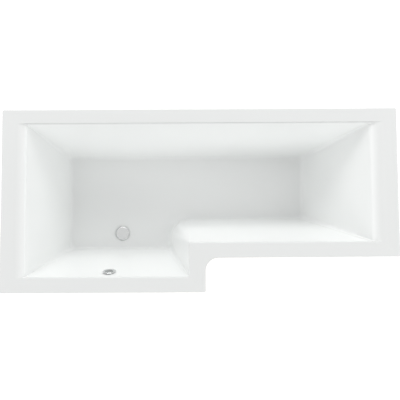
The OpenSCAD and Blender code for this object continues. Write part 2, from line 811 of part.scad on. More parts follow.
module overflow_screw() {
    color("silver")
        at_overflow()
            translate([0, 0, elbow_z - elbow_l - 0.1]) {
                cylinder(r = face_screw_r, h = elbow_l - elbow_z + face_gap - 0.2);
                translate([0, 0, -4])
                    cylinder(d = 10 / cos(30), h = 4, $fn = 6);
            }
}

// The elbow's cup lies square to the wall, and its spigot points straight down.
cup_axis = [-cos(lean), -sin(lean)];                 // into the elbow, as [y, z]
elbow_mid = [overflow_y, overflow_z] + cup_axis * (-elbow_z + elbow_l / 2);
spigot_drop = 26;                                    // spigot's length below the cup
spigot_end = overflow_z - elbow_r - spigot_drop;
spigot_top = elbow_mid.y - elbow_r / 2;              // clear of the bolt's head
module overflow_elbow() {
    color("white")
    difference() {
        union() {
            at_overflow()
                translate([0, 0, elbow_z])
                    cylinder(r = elbow_flange_r, h = fitting_t);
            at_overflow()
                translate([0, 0, elbow_z - elbow_l])
                    cylinder(r = elbow_r, h = elbow_l + 1);
            translate([waste_at.x, elbow_mid.x, spigot_end])
                cylinder(r = spigot_r, h = spigot_top - spigot_end);
        }
        at_overflow()
            translate([0, 0, elbow_z - elbow_l + fitting_t])
                cylinder(r = overflow_r, h = elbow_l + fitting_t);
        translate([waste_at.x, elbow_mid.x, spigot_end - 1])
            cylinder(r = hose_bore, h = spigot_top - spigot_end + 1);
        at_overflow()
            translate([0, 0, elbow_z - elbow_l - 1])
                cylinder(r = face_screw_r + 0.2, h = elbow_l);
    }
}

// The hose runs down, round a quarter bend and along to the waste: its centre line as
// [y, z] and its heading, at distance s from the elbow.
hose_top = spigot_end - 0.2;
hose_end_y = waste_at.y - inlet_l - 0.2;
hose_down = hose_top - inlet_z - hose_bend;
hose_arc = hose_bend * PI / 2;
hose_along = hose_end_y - elbow_mid.x - hose_bend;
hose_len = hose_down + hose_arc + hose_along;
function bend_angle(s) = 90 * min(1, max(0, (s - hose_down) / hose_arc));
function hose_at(s) =
    let (a = bend_angle(s))
    [elbow_mid.x + hose_bend * (1 - cos(a)) + max(0, s - hose_down - hose_arc),
     hose_top - min(s, hose_down) - hose_bend * sin(a)];
cuff = 20;
rib_n = floor((hose_len - 2 * cuff) / rib_pitch);
rib_step = (hose_len - 2 * cuff) / rib_n / 2;
rib_root = hose_r - rib_h;
hose_s = concat([0], [for (i = [0 : 2 * rib_n]) cuff + i * rib_step], [hose_len]);
hose_rad = concat([rib_root], [for (i = [0 : 2 * rib_n]) i % 2 == 0 ? rib_root : hose_r], [rib_root]);
hose_sides = 8;
function hose_ring(s, r) = [for (k = [0 : hose_sides - 1])
    let (a = bend_angle(s), p = hose_at(s), w = 360 * k / hose_sides, out = r * cos(w))
    [waste_at.x + r * sin(w), p.x - out * cos(a), p.y - out * sin(a)]];
bore_n = 24;
module overflow_hose() {
    m = len(hose_s);
    outer = [for (i = [0 : m - 1]) each hose_ring(hose_s[i], hose_rad[i])];
    inner = [for (i = [0 : bore_n]) each hose_ring(hose_len * i / bore_n, hose_bore)];
    o = len(outer);
    last = hose_sides * (m - 1);
    end = o + hose_sides * bore_n;
    wall = [for (i = [0 : m - 2], k = [0 : hose_sides - 1])
        let (n = (k + 1) % hose_sides, a = hose_sides * i, b = a + hose_sides)
        each [[a + k, a + n, b + k], [a + n, b + n, b + k]]];
    lining = [for (i = [0 : bore_n - 1], k = [0 : hose_sides - 1])
        let (n = (k + 1) % hose_sides, a = o + hose_sides * i, b = a + hose_sides)
        each [[a + k, b + k, a + n], [a + n, b + k, b + n]]];
    mouths = [for (k = [0 : hose_sides - 1])
        let (n = (k + 1) % hose_sides)
        each [[k, o + k, n], [n, o + k, o + n],
              [last + k, last + n, end + k], [last + n, end + n, end + k]]];
    color("gainsboro")
        polyhedron(concat(outer, inner), concat(wall, lining, mouths), convexity = 10);
}

// A hose nut covers a joint, half on the spigot and half on the hose's plain cuff.
nut_bore = max(rib_root, spigot_r) + 0.3;
nut_r = nut_bore + 4;
module hose_nut() {
    difference() {
        union() {
            cylinder(r = nut_r, h = nut_l);
            for (a = [0 : 30 : 330])
                rotate(a)
                    translate([nut_r - 0.5, -1.5, 2])
                        cube([2, 3, nut_l - 4]);
        }
        translate([0, 0, -1])
            cylinder(r = nut_bore, h = nut_l + 2);
    }
}
module hose_nut_top() {
    color("white")
        translate([waste_at.x, elbow_mid.x, spigot_end - nut_l / 2])
            hose_nut();
}
module hose_nut_bottom() {
    color("white")
        translate([waste_at.x, waste_at.y - inlet_l + nut_l / 2, inlet_z])
            rotate([90, 0, 0])
                hose_nut();
}

bath_shell();
grp_reinforcement();
baseboard();
batten_back();
batten_left();
batten_right();
batten_front_wide();
batten_step();
batten_front_narrow();
leg_bar_left();
leg_bar_right();
centre_leg();
board_screws();
lock_nuts();
foot_stud_1();
foot_stud_2();
foot_stud_3();
foot_stud_4();
foot_stud_5();
foot_pad_1();
foot_pad_2();
foot_pad_3();
foot_pad_4();
foot_pad_5();
wall_bracket_left();
wall_bracket_right();
bracket_screws();
waste_flange();
flange_seal();
waste_seal();
waste_body();
waste_cartridge();
plug_plunger();
plug_spring();
plug_cap();
plug_seal();
overflow_face();
overflow_screw();
overflow_seal();
overflow_elbow();
overflow_hose();
hose_nut_top();
hose_nut_bottom();
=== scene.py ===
import math

import bmesh
import bpy
import numpy as np
from mathutils import Matrix, Vector


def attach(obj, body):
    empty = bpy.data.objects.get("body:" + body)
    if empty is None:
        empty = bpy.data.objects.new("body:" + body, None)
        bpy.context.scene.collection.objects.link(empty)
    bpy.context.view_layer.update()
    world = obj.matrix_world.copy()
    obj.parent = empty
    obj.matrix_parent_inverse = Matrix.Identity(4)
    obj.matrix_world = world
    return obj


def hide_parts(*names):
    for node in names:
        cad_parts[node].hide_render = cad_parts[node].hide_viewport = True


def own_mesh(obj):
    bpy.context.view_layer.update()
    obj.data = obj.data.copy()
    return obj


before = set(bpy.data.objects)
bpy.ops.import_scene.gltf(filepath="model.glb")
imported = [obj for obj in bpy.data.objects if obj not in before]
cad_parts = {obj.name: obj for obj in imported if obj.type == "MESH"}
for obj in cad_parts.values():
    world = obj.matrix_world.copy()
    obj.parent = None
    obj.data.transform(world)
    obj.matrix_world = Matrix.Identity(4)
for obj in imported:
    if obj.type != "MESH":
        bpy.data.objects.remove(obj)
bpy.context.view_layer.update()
print("frame loaded with", len(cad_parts), "nodes")

# Sizes are in millimetres, in the same frame as the solids; makePiece turns them into metres.
# The camera and the studio are in metres, colours are linear and angles are in degrees.

# the camera stands nearly straight over the bath, in front of its middle
camera = {"place": (-0.0029, -0.1021, 2.4677), "target": (0.0002, -0.0017, 0.56), "roll": 1.4295,
          "lens": 40.348, "near": 0.05, "far": 60}


def shown(name, data):
    # an object that carries the data, put in the scene
    made = bpy.data.objects.new(name, data)
    bpy.context.scene.collection.objects.link(made)
    return made


def aimed(thing, place, target, roll=0):
    # moves a camera or a lamp to its place, looking at the target
    look = (Vector(target) - Vector(place)).to_track_quat("-Z", "Y")
    thing.matrix_world = (Matrix.Translation(place) @ look.to_matrix().to_4x4()
                          @ Matrix.Rotation(math.radians(roll), 4, "Z"))


eye = bpy.data.cameras.new("studioCamera")
eye.lens = camera["lens"]
eye.clip_start, eye.clip_end = camera["near"], camera["far"]
bpy.context.scene.camera = shown("studioCamera", eye)
aimed(bpy.context.scene.camera, camera["place"], camera["target"], camera["roll"])
print("camera placed")


class Wire:
    # one output socket of a node; arithmetic on it adds Math nodes
    def __init__(self, tree, socket):
        self.tree, self.socket = tree, socket

    def maths(self, operation, first, second):
        return self.tree.add("ShaderNodeMath", {"operation": operation}, {0: first, 1: second})

    def __add__(self, other):
        return self.maths("ADD", self, other)

    def __radd__(self, other):
        return self.maths("ADD", other, self)

    def __mul__(self, other):
        return self.maths("MULTIPLY", self, other)

    def __rmul__(self, other):
        return self.maths("MULTIPLY", other, self)

    def __gt__(self, other):
        return self.maths("GREATER_THAN", self, other)

    def most(self, other):
        return self.maths("MAXIMUM", self, other)


class NodeTree:
    # the nodes of a material or of the sky, emptied first
    def __init__(self, owner):
        owner.use_nodes = True
        self.nodes, self.links = owner.node_tree.nodes, owner.node_tree.links
        self.nodes.clear()

    def set(self, node, values):
        # wires are linked; plain numbers and colours are written on the socket itself
        for key, value in values.items():
            socket = node.inputs[key]
            if isinstance(value, Wire):
                self.links.new(value.socket, socket)
            elif isinstance(value, (tuple, list)) and len(value) == 3 and socket.type == "RGBA":
                socket.default_value = (*value, 1)
            else:
                socket.default_value = value

    def add(self, kind, settings=None, values=None, output=0):
        # settings first, a ramp's stops among them, then the sockets
        node = self.nodes.new(kind)
        for key, value in (settings or {}).items():
            if key == "stops":
                ramp = node.color_ramp
                while len(ramp.elements) < len(value):
                    ramp.elements.new(0.5)
                for element, (place, colour) in zip(ramp.elements, value):
                    element.position = place
                    element.color = (*colour, 1)
            else:
                setattr(node, key, value)
        self.set(node, values or {})
        return Wire(self, node.outputs[output])

    def place(self, stretch=(1, 1, 1), turn=(0, 0, 0)):
        # object coordinates, which every piece shares with the frame, stretched and turned
        where = self.add("ShaderNodeTexCoord", output="Object")
        return self.add("ShaderNodeMapping", {}, {"Vector": where, "Scale": stretch, "Rotation": turn})

    def noise(self, scale, where=None, detail=3, rough=0.5, warp=0.0):
        return self.add("ShaderNodeTexNoise", {},
                        {"Vector": where or self.place(), "Scale": scale, "Detail": detail,
                         "Roughness": rough, "Distortion": warp})

    def cells(self, scale, where=None, feature="F1", output="Distance"):
        return self.add("ShaderNodeTexVoronoi", {"feature": feature},
                        {"Vector": where or self.place(), "Scale": scale}, output)

    def ramp(self, factor, *stops):
        return self.add("ShaderNodeValToRGB", {"stops": stops}, {"Fac": factor})

    def greys(self, factor, *stops):
        return self.ramp(factor, *((place, (shade, shade, shade)) for place, shade in stops))

    def rising(self, factor, low, high):
        # a mask: 0 up to low, 1 from high on
        return self.greys(factor, (low, 0), (high, 1))

    def falling(self, factor, low, high):
        # its reverse: 1 up to low, 0 from high on
        return self.greys(factor, (low, 1), (high, 0))

    def blend(self, factor, first, second, how="MIX"):
        node = self.nodes.new("ShaderNodeMix")
        node.data_type, node.blend_type = "RGBA", how
        for index, value in ((0, factor), (6, first), (7, second)):
            if isinstance(value, Wire):
                self.links.new(value.socket, node.inputs[index])
            else:
                node.inputs[index].default_value = (*value, 1) if index else value
        return Wire(self, node.outputs[2])

    def bump(self, height, strength, distance, base=None):
        values = {"Height": height, "Strength": strength, "Distance": distance}
        if base:
            values["Normal"] = base
        return self.add("ShaderNodeBump", {}, values)


class Finish(NodeTree):
    # a material whose shader takes fixed numbers on its own sockets and wires where it varies
    def __init__(self, name, fixed):
        self.material = bpy.data.materials.new(name)
        super().__init__(self.material)
        self.shader = self.nodes.new("ShaderNodeBsdfPrincipled")
        out = self.nodes.new("ShaderNodeOutputMaterial")
        self.links.new(self.shader.outputs[0], out.inputs["Surface"])
        self.set(self.shader, fixed)

    def done(self, **varying):
        # the shader's varying sockets, named with spaces taken out
        spaced = {"BaseColor": "Base Color", "EmissionColor": "Emission Color"}
        self.set(self.shader, {spaced.get(key, key): value for key, value in varying.items()})
        return self.material


def acrylicFinish():
    # vacuum-formed sheet: clear gloss over white, with a faint mottle, the sheet's slight unevenness, and
    # painted shade that greys the rim and the floor
    f = Finish("acrylicSheet", {"IOR": 1.49, "Coat Weight": 0.1, "Coat Roughness": 0.08})
    mottle = f.noise(2.2, detail=2)
    swell = f.noise(5.0, detail=1)
    peel = f.noise(160, detail=1)
    colour = f.blend(mottle, (0.91, 0.924, 0.917), (0.928, 0.94, 0.934))
    # painted shade by height: the rim is painted a shade greyer than the walls and the floor a little greyer,
    # to stand in for how the light falls on them. Each stop is a height in metres and a shade, and the ramp
    # runs from 0 to 1 over 1 / 1.7 metres
    height = f.add("ShaderNodeSeparateXYZ", {}, {0: f.place()}, 2)
    stops = ((0.1676, 0.976), (0.1853, 1), (0.5471, 1), (0.5576, 0.84))
    tone = f.greys(height * 1.7, *((z * 1.7, shade) for z, shade in stops))
    colour = f.blend(1.0, colour, tone, "MULTIPLY")
    return f.done(BaseColor=colour, Roughness=mottle * 0.05 + 0.13,
                  Normal=f.bump(peel, 0.02, 0.0006, f.bump(swell, 0.05, 0.003)))


def glassFibreFinish():
    # chopped strands lying every way in resin, rolled flat here and standing proud there
    f = Finish("glassFibre", {"Coat Weight": 0.25, "Coat Roughness": 0.25})
    wander = f.noise(14, detail=3)
    lies = ((60, (1, 9, 3), (0.4, 0.2, 0.6)), (60, (9, 1, 3), (0.1, 0.5, -0.4)),
            (70, (4, 3, 9), (0.7, -0.3, 1.2)))
    layers = [f.noise(scale, f.place(stretch, turn), detail=2, warp=0.5) for scale, stretch, turn in lies]
    strands = layers[0].most(layers[1]).most(layers[2])
    drips = f.noise(38, detail=4, rough=0.6)
    colour = f.blend(f.rising(strands, 0.5, 0.72), (0.50, 0.45, 0.31), (0.78, 0.75, 0.64))
    colour = f.blend(f.rising(wander, 0.35, 0.7), colour, (0.66, 0.61, 0.46))
    return f.done(BaseColor=colour, Roughness=strands * 0.35 + 0.3,
                  Normal=f.bump(strands + drips * 0.8, 0.7, 0.0025, f.bump(wander, 0.6, 0.008)))


def chipboardFinish():
    # pressed flakes of several sizes, each its own shade, with dark glue gaps
    f = Finish("chipboard", {})
    coarse, size = ((1, 1.9, 2.6), (0, 0, 0.3)), 150
    flakes = f.cells(size, f.place(*coarse), output="Color")
    fines = f.cells(420, f.place((1.6, 1, 2.2), (0, 0, 0.9)), output="Color")
    flakeShade = f.add("ShaderNodeSeparateColor", {}, {"Color": flakes})
    fineShade = f.add("ShaderNodeSeparateColor", {}, {"Color": fines}, 1)
    gaps = f.cells(size, f.place(*coarse), feature="DISTANCE_TO_EDGE")
    tone = flakeShade * 0.65 + fineShade * 0.35
    colour = f.ramp(tone, (0.05, (0.26, 0.15, 0.07)), (0.45, (0.47, 0.31, 0.16)),
                    (0.95, (0.66, 0.49, 0.29)))
    colour = f.blend(f.falling(gaps, 0.0, 0.05), colour, (0.2, 0.12, 0.06))
    return f.done(BaseColor=colour, Roughness=tone * 0.2 + 0.65,
                  Normal=f.bump(tone + gaps * 2, 0.35, 0.0008))


def softwoodFinish(name, along):
    # growth rings cut lengthways: stretched noise bends the stripes; saw marks run across
    f = Finish(name, {})
    stretch = (0.35, 4, 4) if along == "x" else (4, 0.35, 4)
    where = f.place(stretch)
    rings = f.noise(16, where, detail=2, warp=0.4)
    bands = f.add("ShaderNodeMath", {"operation": "FRACT"}, {0: rings * 7})
    late = f.greys(bands, (0.0, 0), (0.72, 0.3), (0.93, 1), (1.0, 0.1))
    fibres = f.noise(420, f.place((0.06, 1, 1) if along == "x" else (1, 0.06, 1)), detail=3, rough=0.6)
    knots = f.cells(2.2, f.place((1, 4, 4) if along == "x" else (4, 1, 4)))
    colour = f.blend(late, (0.66, 0.47, 0.27), (0.46, 0.27, 0.12))
    colour = f.blend(f.rising(fibres, 0.3, 0.75), colour, (0.74, 0.57, 0.36))
    colour = f.blend(f.falling(knots, 0.05, 0.11), colour, (0.22, 0.11, 0.05))
    saw = f.add("ShaderNodeTexWave", {"bands_direction": "X" if along == "x" else "Y"},
                {"Vector": f.place(), "Scale": 90, "Distortion": 2.0, "Detail": 2})
    return f.done(BaseColor=colour, Roughness=fibres * 0.2 + 0.6,
                  Normal=f.bump(fibres + saw * 0.35, 0.35, 0.0006))


def zincFinish(name, tint, rough):
    # zinc plating: a fine spangle, cloudy passivation and rubbed streaks
    f = Finish(name, {"Metallic": 1.0})
    spangle = f.add("ShaderNodeSeparateColor", {}, {"Color": f.cells(260, output="Color")})
    cloud = f.noise(22, detail=4, rough=0.6)
    streak = f.noise(120, f.place((1, 0.08, 1)), detail=2)
    low = tuple(0.78 * c for c in tint)
    colour = f.blend(cloud * 0.6 + spangle * 0.25, low, tint)
    return f.done(BaseColor=colour, Roughness=cloud * 0.16 + spangle * 0.06 + rough,
                  Normal=f.bump(streak + spangle * 0.3, 0.08, 0.0004))


def chromeFinish(name, dark, light, inset=None):
    # bright plate with water marks that show only in its roughness; inset gives a satin middle's place,
    # radius and colour. On the overflow's face that middle's dark colour is painted shade
    f = Finish(name, {"Metallic": 1.0})
    haze = f.noise(70, detail=4, rough=0.65)
    spots = f.cells(95, f.place((1, 1.2, 1)))
    colour = f.blend(haze, dark, light)
    mark = f.falling(spots, 0.16, 0.3)
    rough = haze * 0.07 + mark * 0.03 + 0.05
    if inset:
        place, radius, middle = inset
        away = f.add("ShaderNodeVectorMath", {"operation": "DISTANCE"}, {0: f.place(), 1: place}, "Value")
        satin = f.falling(away * (0.5 / radius), 0.49, 0.51)
        colour = f.blend(satin, colour, middle)
        rough = rough + satin * 0.12
    return f.done(BaseColor=colour, Roughness=rough)


def brassFinish():
    # turned brass: cloudy tarnish and fine lathe lines round the axis
    f = Finish("turnedBrass", {"Metallic": 1.0})
    tarnish = f.noise(90, detail=4)
    lathe = f.noise(900, f.place((0.05, 0.05, 1)), detail=1)
    colour = f.blend(tarnish, (0.55, 0.37, 0.14), (0.80, 0.60, 0.27))
    return f.done(BaseColor=colour, Roughness=tarnish * 0.2 + 0.16, Normal=f.bump(lathe, 0.1, 0.0003))


def rubberFinish():
    # black rubber with a greyish bloom and a fine grain
    f = Finish("sealRubber", {"IOR": 1.5})
    bloom = f.noise(45, detail=4)
    grain = f.noise(900, detail=2)
    colour = f.blend(bloom, (0.016, 0.016, 0.017), (0.05, 0.05, 0.05))
    return f.done(BaseColor=colour, Roughness=bloom * 0.2 + 0.55, Normal=f.bump(grain, 0.25, 0.0002))


def plasticFinish(name, dark, light, rough, grainScale, grainDepth):
    # moulded plastic: a slight flow mottle in the colour and a fine tool grain
    f = Finish(name, {"IOR": 1.46})
    flow = f.noise(18, detail=3, warp=0.6)
    grain = f.noise(grainScale, detail=2)
    return f.done(BaseColor=f.blend(flow, dark, light), Roughness=flow * 0.12 + rough,
                  Normal=f.bump(grain, grainDepth, 0.0003))


# each finish with the name of its slot
polished = ((0.80, 0.81, 0.81), (0.88, 0.89, 0.89))
finishes = {
    "acrylic": (acrylicFinish(), "acrylic"),
    "glassFibre": (glassFibreFinish(), "glass_fibre"),
    "chipboard": (chipboardFinish(), "chipboard"),
    "woodX": (softwoodFinish("softwoodAlongX", "x"), "softwood"),
    "woodY": (softwoodFinish("softwoodAlongY", "y"), "softwood"),
    "zinc": (zincFinish("zincPlate", (0.60, 0.61, 0.60), 0.30), "zinc_steel"),
    "zincGold": (zincFinish("yellowZinc", (0.62, 0.53, 0.30), 0.28), "zinc_steel"),
    "spring": (zincFinish("springWire", (0.42, 0.43, 0.44), 0.24), "spring_steel"),
    "chrome": (chromeFinish("chromePlate", *polished), "chrome"),
    "brass": (brassFinish(), "brass"),
    "rubber": (rubberFinish(), "rubber"),
    "white": (plasticFinish("whitePlastic", (0.72, 0.72, 0.70), (0.80, 0.80, 0.78), 0.28, 700, 0.08),
              "white_plastic"),
    "hose": (plasticFinish("hosePlastic", (0.60, 0.60, 0.58), (0.69, 0.69, 0.67), 0.34, 500, 0.08),
             "hose_plastic"),
    "black": (plasticFinish("footNylon", (0.022, 0.022, 0.024), (0.04, 0.04, 0.042), 0.42, 800, 0.2),
              "foot_plastic")}
print("finishes made:", len(finishes))


def patch(points, closeRows=False, closeColumns=False, keep=None):
    # a grid of points as quads: each cell joins a point to its neighbours in the next row and column
    rows, columns = points.shape[:2]
    i = np.arange(rows if closeRows else rows - 1)[:, None]
    j = np.arange(columns if closeColumns else columns - 1)[None, :]
    nextRow, nextColumn = (i + 1) % rows, (j + 1) % columns
    faces = np.stack([i * columns + j, i * columns + nextColumn,
                      nextRow * columns + nextColumn, nextRow * columns + j], -1)
    faces = faces.reshape(-1, 4) if keep is None else faces[keep]
    return points.reshape(-1, 3), faces


usualCrease = 38       # edges that turn by more degrees than this are shaded sharp


def makePiece(name, patches, finish, node, body="bath", crease=usualCrease, capped=False):
    # the patches' points are stacked, doubled points merged, open ends capped and faces turned outwards
    starts = np.cumsum([0] + [len(p) for p, f in patches[:-1]])
    points = np.concatenate([p for p, f in patches]) * 0.001
    faces = np.concatenate([f + s for (p, f), s in zip(patches, starts)])
    mesh = bpy.data.meshes.new(name)
    mesh.from_pydata(points, [], faces)
    work = bmesh.new()
    work.from_mesh(mesh)
    bmesh.ops.remove_doubles(work, verts=work.verts, dist=3e-6)
    if capped:
        bmesh.ops.holes_fill(work, edges=work.edges, sides=0)
    bmesh.ops.recalc_face_normals(work, faces=work.faces)
    work.to_mesh(mesh)
    work.free()
    mesh.shade_smooth()
    mesh.set_sharp_from_angle(angle=math.radians(crease))
    made = shown(name, mesh)
    material, slot = finishes[finish]
    mesh.materials.append(material)
    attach(made, body)
    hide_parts(node)
    return made


def softened(points, radius, steps=5, closed=False):
    # each corner of a polyline becomes a quadratic curve from one tangent point to the other
    p = np.asarray(points, float)
    toLast, toNext = np.roll(p, 1, 0) - p, np.roll(p, -1, 0) - p
    lastLength = np.linalg.norm(toLast, axis=1, keepdims=True)
    nextLength = np.linalg.norm(toNext, axis=1, keepdims=True)
    reach = np.broadcast_to(np.asarray(radius, float), (len(p),))[:, None]
    reach = np.minimum(reach, 0.48 * np.minimum(lastLength, nextLength))
    first = (p + toLast / lastLength * reach)[:, None]
    last = (p + toNext / nextLength * reach)[:, None]
    t = np.linspace(0, 1, steps)[None, :, None]
    curve = first * (1 - t) ** 2 + 2 * p[:, None] * t * (1 - t) + last * t ** 2
    if closed:
        return curve.reshape(-1, 2)
    return np.concatenate([p[:1], curve[1:-1].reshape(-1, 2), p[-1:]])


def fullTurn(steps):
    # equal angles round a circle
    return np.linspace(0, 2 * np.pi, steps, endpoint=False)


def placed(points, place, turn, closeRows=False):
    # rings of points turned about the origin and moved, each ring closed on itself
    if turn is not None:
        points = points @ turn.T
    return patch(points + np.asarray(place, float), closeRows=closeRows, closeColumns=True)


def swung(radius, height, place, turn=None, loop=False):
    # rings round Z of a grid of radii: x = r cos a and y = r sin a, with a even over the full turn
    a = fullTurn(radius.shape[1])
    points = np.stack([radius * np.cos(a), radius * np.sin(a), np.broadcast_to(height, radius.shape)], -1)
    return placed(points, place, turn, loop)


def turned(profile, place, steps, turn=None, wobble=None, loop=False):
    # a (radius, height) profile swung round Z; wobble multiplies the radius by angle and height
    radius, height = np.asarray(profile, float).T[..., None]
    radius = np.repeat(radius, steps, 1)
    if wobble is not None:
        radius = radius * wobble(fullTurn(steps), height)
    return swung(radius, height, place, turn, loop)


def carried(loop, path, side, up, sizes=None, hollow=False):
    # a closed section carried along a path: point = path + u side + v up, its size set at each place
    path, side, up = (np.atleast_2d(np.asarray(v, float)) for v in (path, side, up))
    sizes = np.ones(len(path)) if sizes is None else np.asarray(sizes, float)
    u, v = np.asarray(loop, float).T
    spread = u[None, :, None] * side[:, None] + v[None, :, None] * up[:, None]
    points = path[:, None] + spread * sizes[:, None, None]
    if not hollow:
        points = np.concatenate([np.repeat(path[:1, None], len(u), 1), points,
                                 np.repeat(path[-1:, None], len(u), 1)])
    return patch(points, closeColumns=True)


def roundLoop(radius, steps):
    # a circle: x = r cos a and y = r sin a
    a = fullTurn(steps)
    return np.stack([radius * np.cos(a), radius * np.sin(a)], -1)


def lerp(a, b, t):
    # a at t = 0, b at t = 1
    return a * (1 - t) + b * t


# the moulded shell; the lists hold its six sides: left, wide front, step, narrow front, right, back
shell = {
    "length": 1700, "width": 785, "narrow": 640, "wideLength": 873, "rim": 560, "depth": 400,
    "sheet": 5, "lip": 38, "edge": 6, "outline": 7, "stepFillet": 55,
    "rimWidths": [67, 63, 68, 63, 60, 60], "shelfWidths": [36, 3, 3, 3, 50, 3],
    "shelfDrops": [7, 1, 1, 1, 11, 1], "crowns": [0, 0, 0, 0, 3, -2.0],
    "runs": [85, 100, 104, 104, 217, 91], "rimFall": 2, "land": 3, "floorLead": 30,
    "brinks": [7, 2, 2, 2, 9, 2], "cove": 16, "topCorner": 3, "floorCorner": 26, "stepFloorCorner": 90,
    "longFall": 7, "wasteFall": 3, "waste": (-397.0, -149.5), "recess": 34.3, "recessDepth": 4,
    "wasteHole": 26, "boss": 40.2, "overflowHeight": 500, "overflowHole": 20, "backing": 8.3, "bond": 0.3}
# rows of points over the lip and rim, the shelf and brow, and the cove at the wall's foot
rimRows, browRows, footRows = 8, 14, 9
# steps round a corner, points along each stretch of the outline, and rows down the wall below the overflow
# and in the floor's fan; a block of square cells surrounds the overflow hole, blockHalf to each side
counts = {"arc": 10, "left": 16, "beforeBlock": 7, "block": 16, "afterBlock": 5, "step": 12, "front": 28,
          "right": 19, "rest": 16, "wall": 18, "backingWall": 40, "fan": 22}
blockHalf = 33.0
floorZ = shell["rim"] - shell["depth"]
stepX = -shell["length"] / 2 + shell["wideLength"]
narrowY = shell["width"] / 2 - shell["narrow"]
# at the corner where each side begins: the way in, the way out, whether it is wider (-1) or, at the
# step's fillet, tighter (+1) underneath than on the face, and the side before it
arrive = np.array([[-1, 0], [0, -1], [1, 0], [0, 1], [1, 0], [0, 1]], float)
leave = np.array([[0, -1], [1, 0], [0, 1], [1, 0], [0, 1], [-1, 0]], float)
outwards = np.array([-1, -1, -1, 1, -1, -1.0])[:, None]
lastSide = np.array([5, 0, 1, 2, 3, 4])


def sideSections(depth):
    # each side's polyline of (inset, height), moved to the given depth in the sheet by mitred normals
    rim, shelf = (np.array(shell[k], float) for k in ("rimWidths", "shelfWidths"))
    top = shell["rim"]
    q = np.zeros((6, 6, 2))
    q[:, :3, 1] = top - shell["lip"], top, top - shell["rimFall"]
    q[:, 2, 0], q[:, 3, 0] = rim, rim + shelf
    q[:, 3, 1] = q[:, 2, 1] - np.array(shell["shelfDrops"])
    q[:, 4, 0], q[:, 4:, 1] = q[:, 3, 0] + np.array(shell["runs"]), floorZ
    q[:, 5, 0] = q[:, 4, 0] + shell["floorLead"]
    d = np.diff(q, axis=1)
    d /= np.linalg.norm(d, axis=2, keepdims=True)
    n = np.stack([d[..., 1], -d[..., 0]], -1)
    n1, n2 = np.concatenate([n[:, :1], n], 1), np.concatenate([n, n[:, -1:]], 1)
    return q + depth * (n1 + n2) / (1 + (n1 * n2).sum(2, keepdims=True)), d


def bend(a, v, b, reach, steps):
    # a corner's quadratic curve on all six sides at once
    reach = np.broadcast_to(np.asarray(reach, float), (6,))[:, None]
    first = v + (a - v) / np.linalg.norm(a - v, axis=1, keepdims=True) * reach
    last = v + (b - v) / np.linalg.norm(b - v, axis=1, keepdims=True) * reach
    t = np.linspace(0, 1, steps)[None, :, None]
    return first[:, None] * (1 - t) ** 2 + 2 * v[:, None] * t * (1 - t) + last[:, None] * t ** 2


def halfTan(a, b):
    # tangent of half the angle between unit vectors: sqrt((1 - cos) / (1 + cos))
    cosine = (a * b).sum(-1)
    return np.sqrt((1 - cosine) / (1 + cosine))


def sideRows(depth):
    # the curved stations of the six sections, and the plan radii of the corners at each
    q, d = sideSections(depth)
    turn = halfTan(d[:, 2], d[:, 3])
    heel = halfTan(d[:, 3], np.array([1.0, 0.0]))
    rimIn = np.stack([np.minimum(q[:, 2, 0], q[:, 3, 0] - shell["land"] / 2), q[:, 2, 1]], -1)
    edge = bend(q[:, 0], q[:, 1], rimIn, max(0.8, shell["edge"] - depth), rimRows - 1)
    # the shelf's own rows, crowned by a parabola 4 t (1 - t)
    t = np.array([0, 0.04, 0.16, 0.33, 0.5, 0.67, 0.84, 0.96])[None, :, None]
    brow = bend(rimIn, q[:, 3], q[:, 4], np.maximum(0.4, np.array(shell["brinks"]) - depth * turn),
                browRows - t.size)
    foot = bend(q[:, 3], q[:, 4], q[:, 5], shell["cove"] + depth * heel, footRows)
    shelf = lerp(rimIn[:, None], brow[:, :1], t)
    shelf[..., 1] += np.array(shell["crowns"])[:, None] * 4 * (t * (1 - t))[..., 0]
    rows = np.concatenate([q[:, :1], edge, shelf, brow, foot], 1)
    radii = np.repeat([[shell["outline"], shell["topCorner"], shell["floorCorner"]]],
                      [rimRows, browRows, footRows], 1) * np.ones((6, 1))
    radii[3, :rimRows], radii[3, -footRows:] = shell["stepFillet"], shell["stepFloorCorner"]
    return rows, radii


faceRows = sideRows(0)[0]
splitX = stepX - faceRows[2, -1, 0]
floorEnd = shell["length"] / 2 - faceRows[4, -1, 0]
# the wide front wall's top and foot, and its lean from upright; the overflow's axis goes through it at
# overflowAt, square to it, and wallTurn turns local Z to that axis
(topInset, topZ), (footInset, footZ) = sideSections(0)[0][1, 3:5]
wallLean = math.atan2(footInset - topInset, topZ - footZ)
leanSine, leanCosine = math.sin(wallLean), math.cos(wallLean)
overflowY = topInset - shell["width"] / 2 + (topZ - shell["overflowHeight"]) * math.tan(wallLean)
overflowAt = np.array([shell["waste"][0], overflowY, shell["overflowHeight"]])
wallTurn = np.array([[1, 0, 0], [0, leanSine, leanCosine], [0, -leanCosine, leanSine]])


def even(count):
    # fractions that part a side into equal cells, without its ends
    return (np.arange(count) + 1) / (count + 1)


